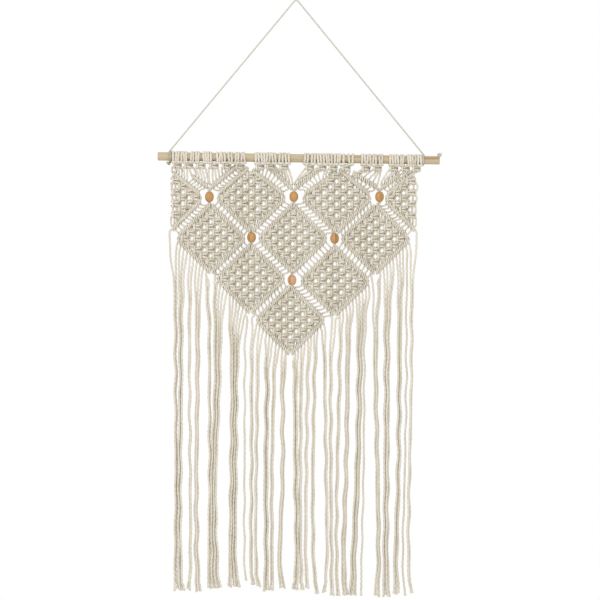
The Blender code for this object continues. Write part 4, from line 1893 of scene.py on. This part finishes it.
@dataclass(frozen=True)
class Studio:
    """A white room with a pale floor, broad soft lights and the camera in front."""

    aim: Point = (0.0057, 0.0, -0.44925)
    distance: float = 3.0
    lens: float = 120.0
    floor_height: float = -1.09

    def place_camera(self) -> None:
        """Adds the camera, level, at the photograph's angle."""
        data = bpy.data.cameras.new("studio_camera")
        data.lens = self.lens
        data.sensor_width = 36.0
        camera = bpy.data.objects.new("studio_camera", data)
        camera.location = (self.aim[0], -self.distance, self.aim[2])
        camera.rotation_euler = (math.pi / 2, 0.0, 0.0)
        bpy.context.scene.collection.objects.link(camera)
        bpy.context.scene.camera = camera

    def light(self, name: str, place: Point, size: float, watts: float) -> None:
        """Adds a square softbox that faces the middle of the piece.

        Args:
            name: Its name.
            place: Where it stands, in metres.
            size: Its side.
            watts: Its power.
        """
        data = bpy.data.lights.new(name, "AREA")
        data.shape = "SQUARE"
        data.size = size
        data.energy = watts
        box = bpy.data.objects.new(name, data)
        box.location = place
        box.rotation_euler = (Vector(self.aim) - Vector(place)).to_track_quat("-Z", "Y").to_euler()
        bpy.context.scene.collection.objects.link(box)

    def build(self) -> None:
        """Adds the world, the lights and the floor."""
        scene = bpy.context.scene
        scene.view_settings.view_transform = "Standard"
        world = bpy.data.worlds.new("white_room")
        world.use_nodes = True
        backdrop = world.node_tree.nodes["Background"]
        backdrop.inputs[0].default_value = (1.0, 1.0, 1.0, 1.0)
        backdrop.inputs[1].default_value = 1.0
        scene.world = world
        self.light("key_softbox", (-1.3, -2.4, 0.9), size=1.2, watts=24.0)
        self.light("fill_softbox", (1.8, -2.2, -0.1), size=1.6, watts=8.0)
        mesh = bpy.data.meshes.new("studio_floor")
        corners = [(-1.6, -1.4), (1.6, -1.4), (1.6, 0.9), (-1.6, 0.9)]
        mesh.from_pydata([(x, y, self.floor_height) for x, y in corners], [], [(0, 1, 2, 3)])
        floor = bpy.data.objects.new("studio_floor", mesh)
        floor.data.materials.append(StudioPaper().material())
        scene.collection.objects.link(floor)


def dress_cotton(pieces: dict[str, bpy.types.Object]) -> None:
    """Says what each cotton piece rides on and which CAD nodes it stands for.

    Args:
        pieces: The objects by piece name.
    """
    for name, piece in pieces.items():
        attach(piece, BODY)
        if name.startswith("heading"):
            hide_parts(name)
        elif name.startswith("lattice"):
            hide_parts("knotted_panel")
        else:
            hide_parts("fringe")
        report(piece)


def main() -> None:
    """Builds the wall hanging from its hanging cord down to the fringe."""
    logging.basicConfig(level=logging.INFO, format="%(message)s")
    studio = Studio()
    studio.place_camera()
    twine = Twine().material()
    report(HangingCord().build(twine))
    studio.build()

    left_end = small_knot(-191.1, -243.9, (3.1, 2.2, 2.0))
    right_end = (
        (189.8, 7.6, -239.3), (200.0, 8.3, -238.5), (209.5, 8.2, -236.5), (216.5, 7.0, -232.2),
        (218.5, 6.2, -228.5),
    )
    # the tail's cut end has opened into a tuft
    tuft = (
        ((209.5, 8.2, -236.5), (213.2, 7.4, -233.0), (215.2, 6.6, -230.2), (215.8, 6.0, -228.2)),
        ((209.5, 8.2, -236.5), (213.8, 8.4, -234.6), (217.0, 7.8, -232.8), (218.4, 7.2, -231.4)),
        ((209.5, 8.2, -236.5), (212.0, 7.0, -233.8), (213.2, 6.2, -231.0), (213.0, 5.8, -229.0)),
    )
    # painted shade: the left tie gets a darker twine for the shade it lies in under the dowel
    dark_twine = Twine("weathered_twine", "#C4BCA2", "#A39A7E").material()
    left_tie = Tie("cord_tie_left", LEFT_TIE_X, (left_end, riser(LEFT_TIE_X)))
    right_tie = Tie("cord_tie_right", RIGHT_TIE_X, (right_end, *tuft, riser(RIGHT_TIE_X)))
    report(left_tie.build(dark_twine))
    report(right_tie.build(twine))

    dowel_wood = SandedWood("sanded_pale_dowel", "#B6A688", "#A89776", "#A07C56", 3.0, 0.6)
    dowel = Dowel().build(dowel_wood.material())
    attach(dowel, BODY)
    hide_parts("dowel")
    report(dowel)

    bead_wood = SandedWood("waxed_beech_bead", "#B6864A", "#9E6E36", "#855828", 2.0, 0.45, 0.25)
    pale_wood = SandedWood("waxed_pale_bead", "#C2966A", "#AE8154", "#966A40", 2.0, 0.45, 0.25)
    finishes = [bead_wood.material()] * 5 + [pale_wood.material()]
    beads = [Bead(number) for number in range(1, 7)]
    for bead, finish in zip(beads, finishes, strict=True):
        made = bead.build(finish)
        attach(made, BODY)
        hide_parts(bead.node())
        report(made)

    yarn, fringe = Yarn(), Fringe()
    for number, legs in enumerate(HEADING_LEGS, start=1):
        Heading(number, legs).work(yarn.strands)
    Lattice().work(yarn.strands, [bead.middle() for bead in beads])
    fringe.hang(yarn.strands)
    dress_cotton(yarn.build(fringe, TwistedCotton().material()))


if __name__ == "__main__":
    main()
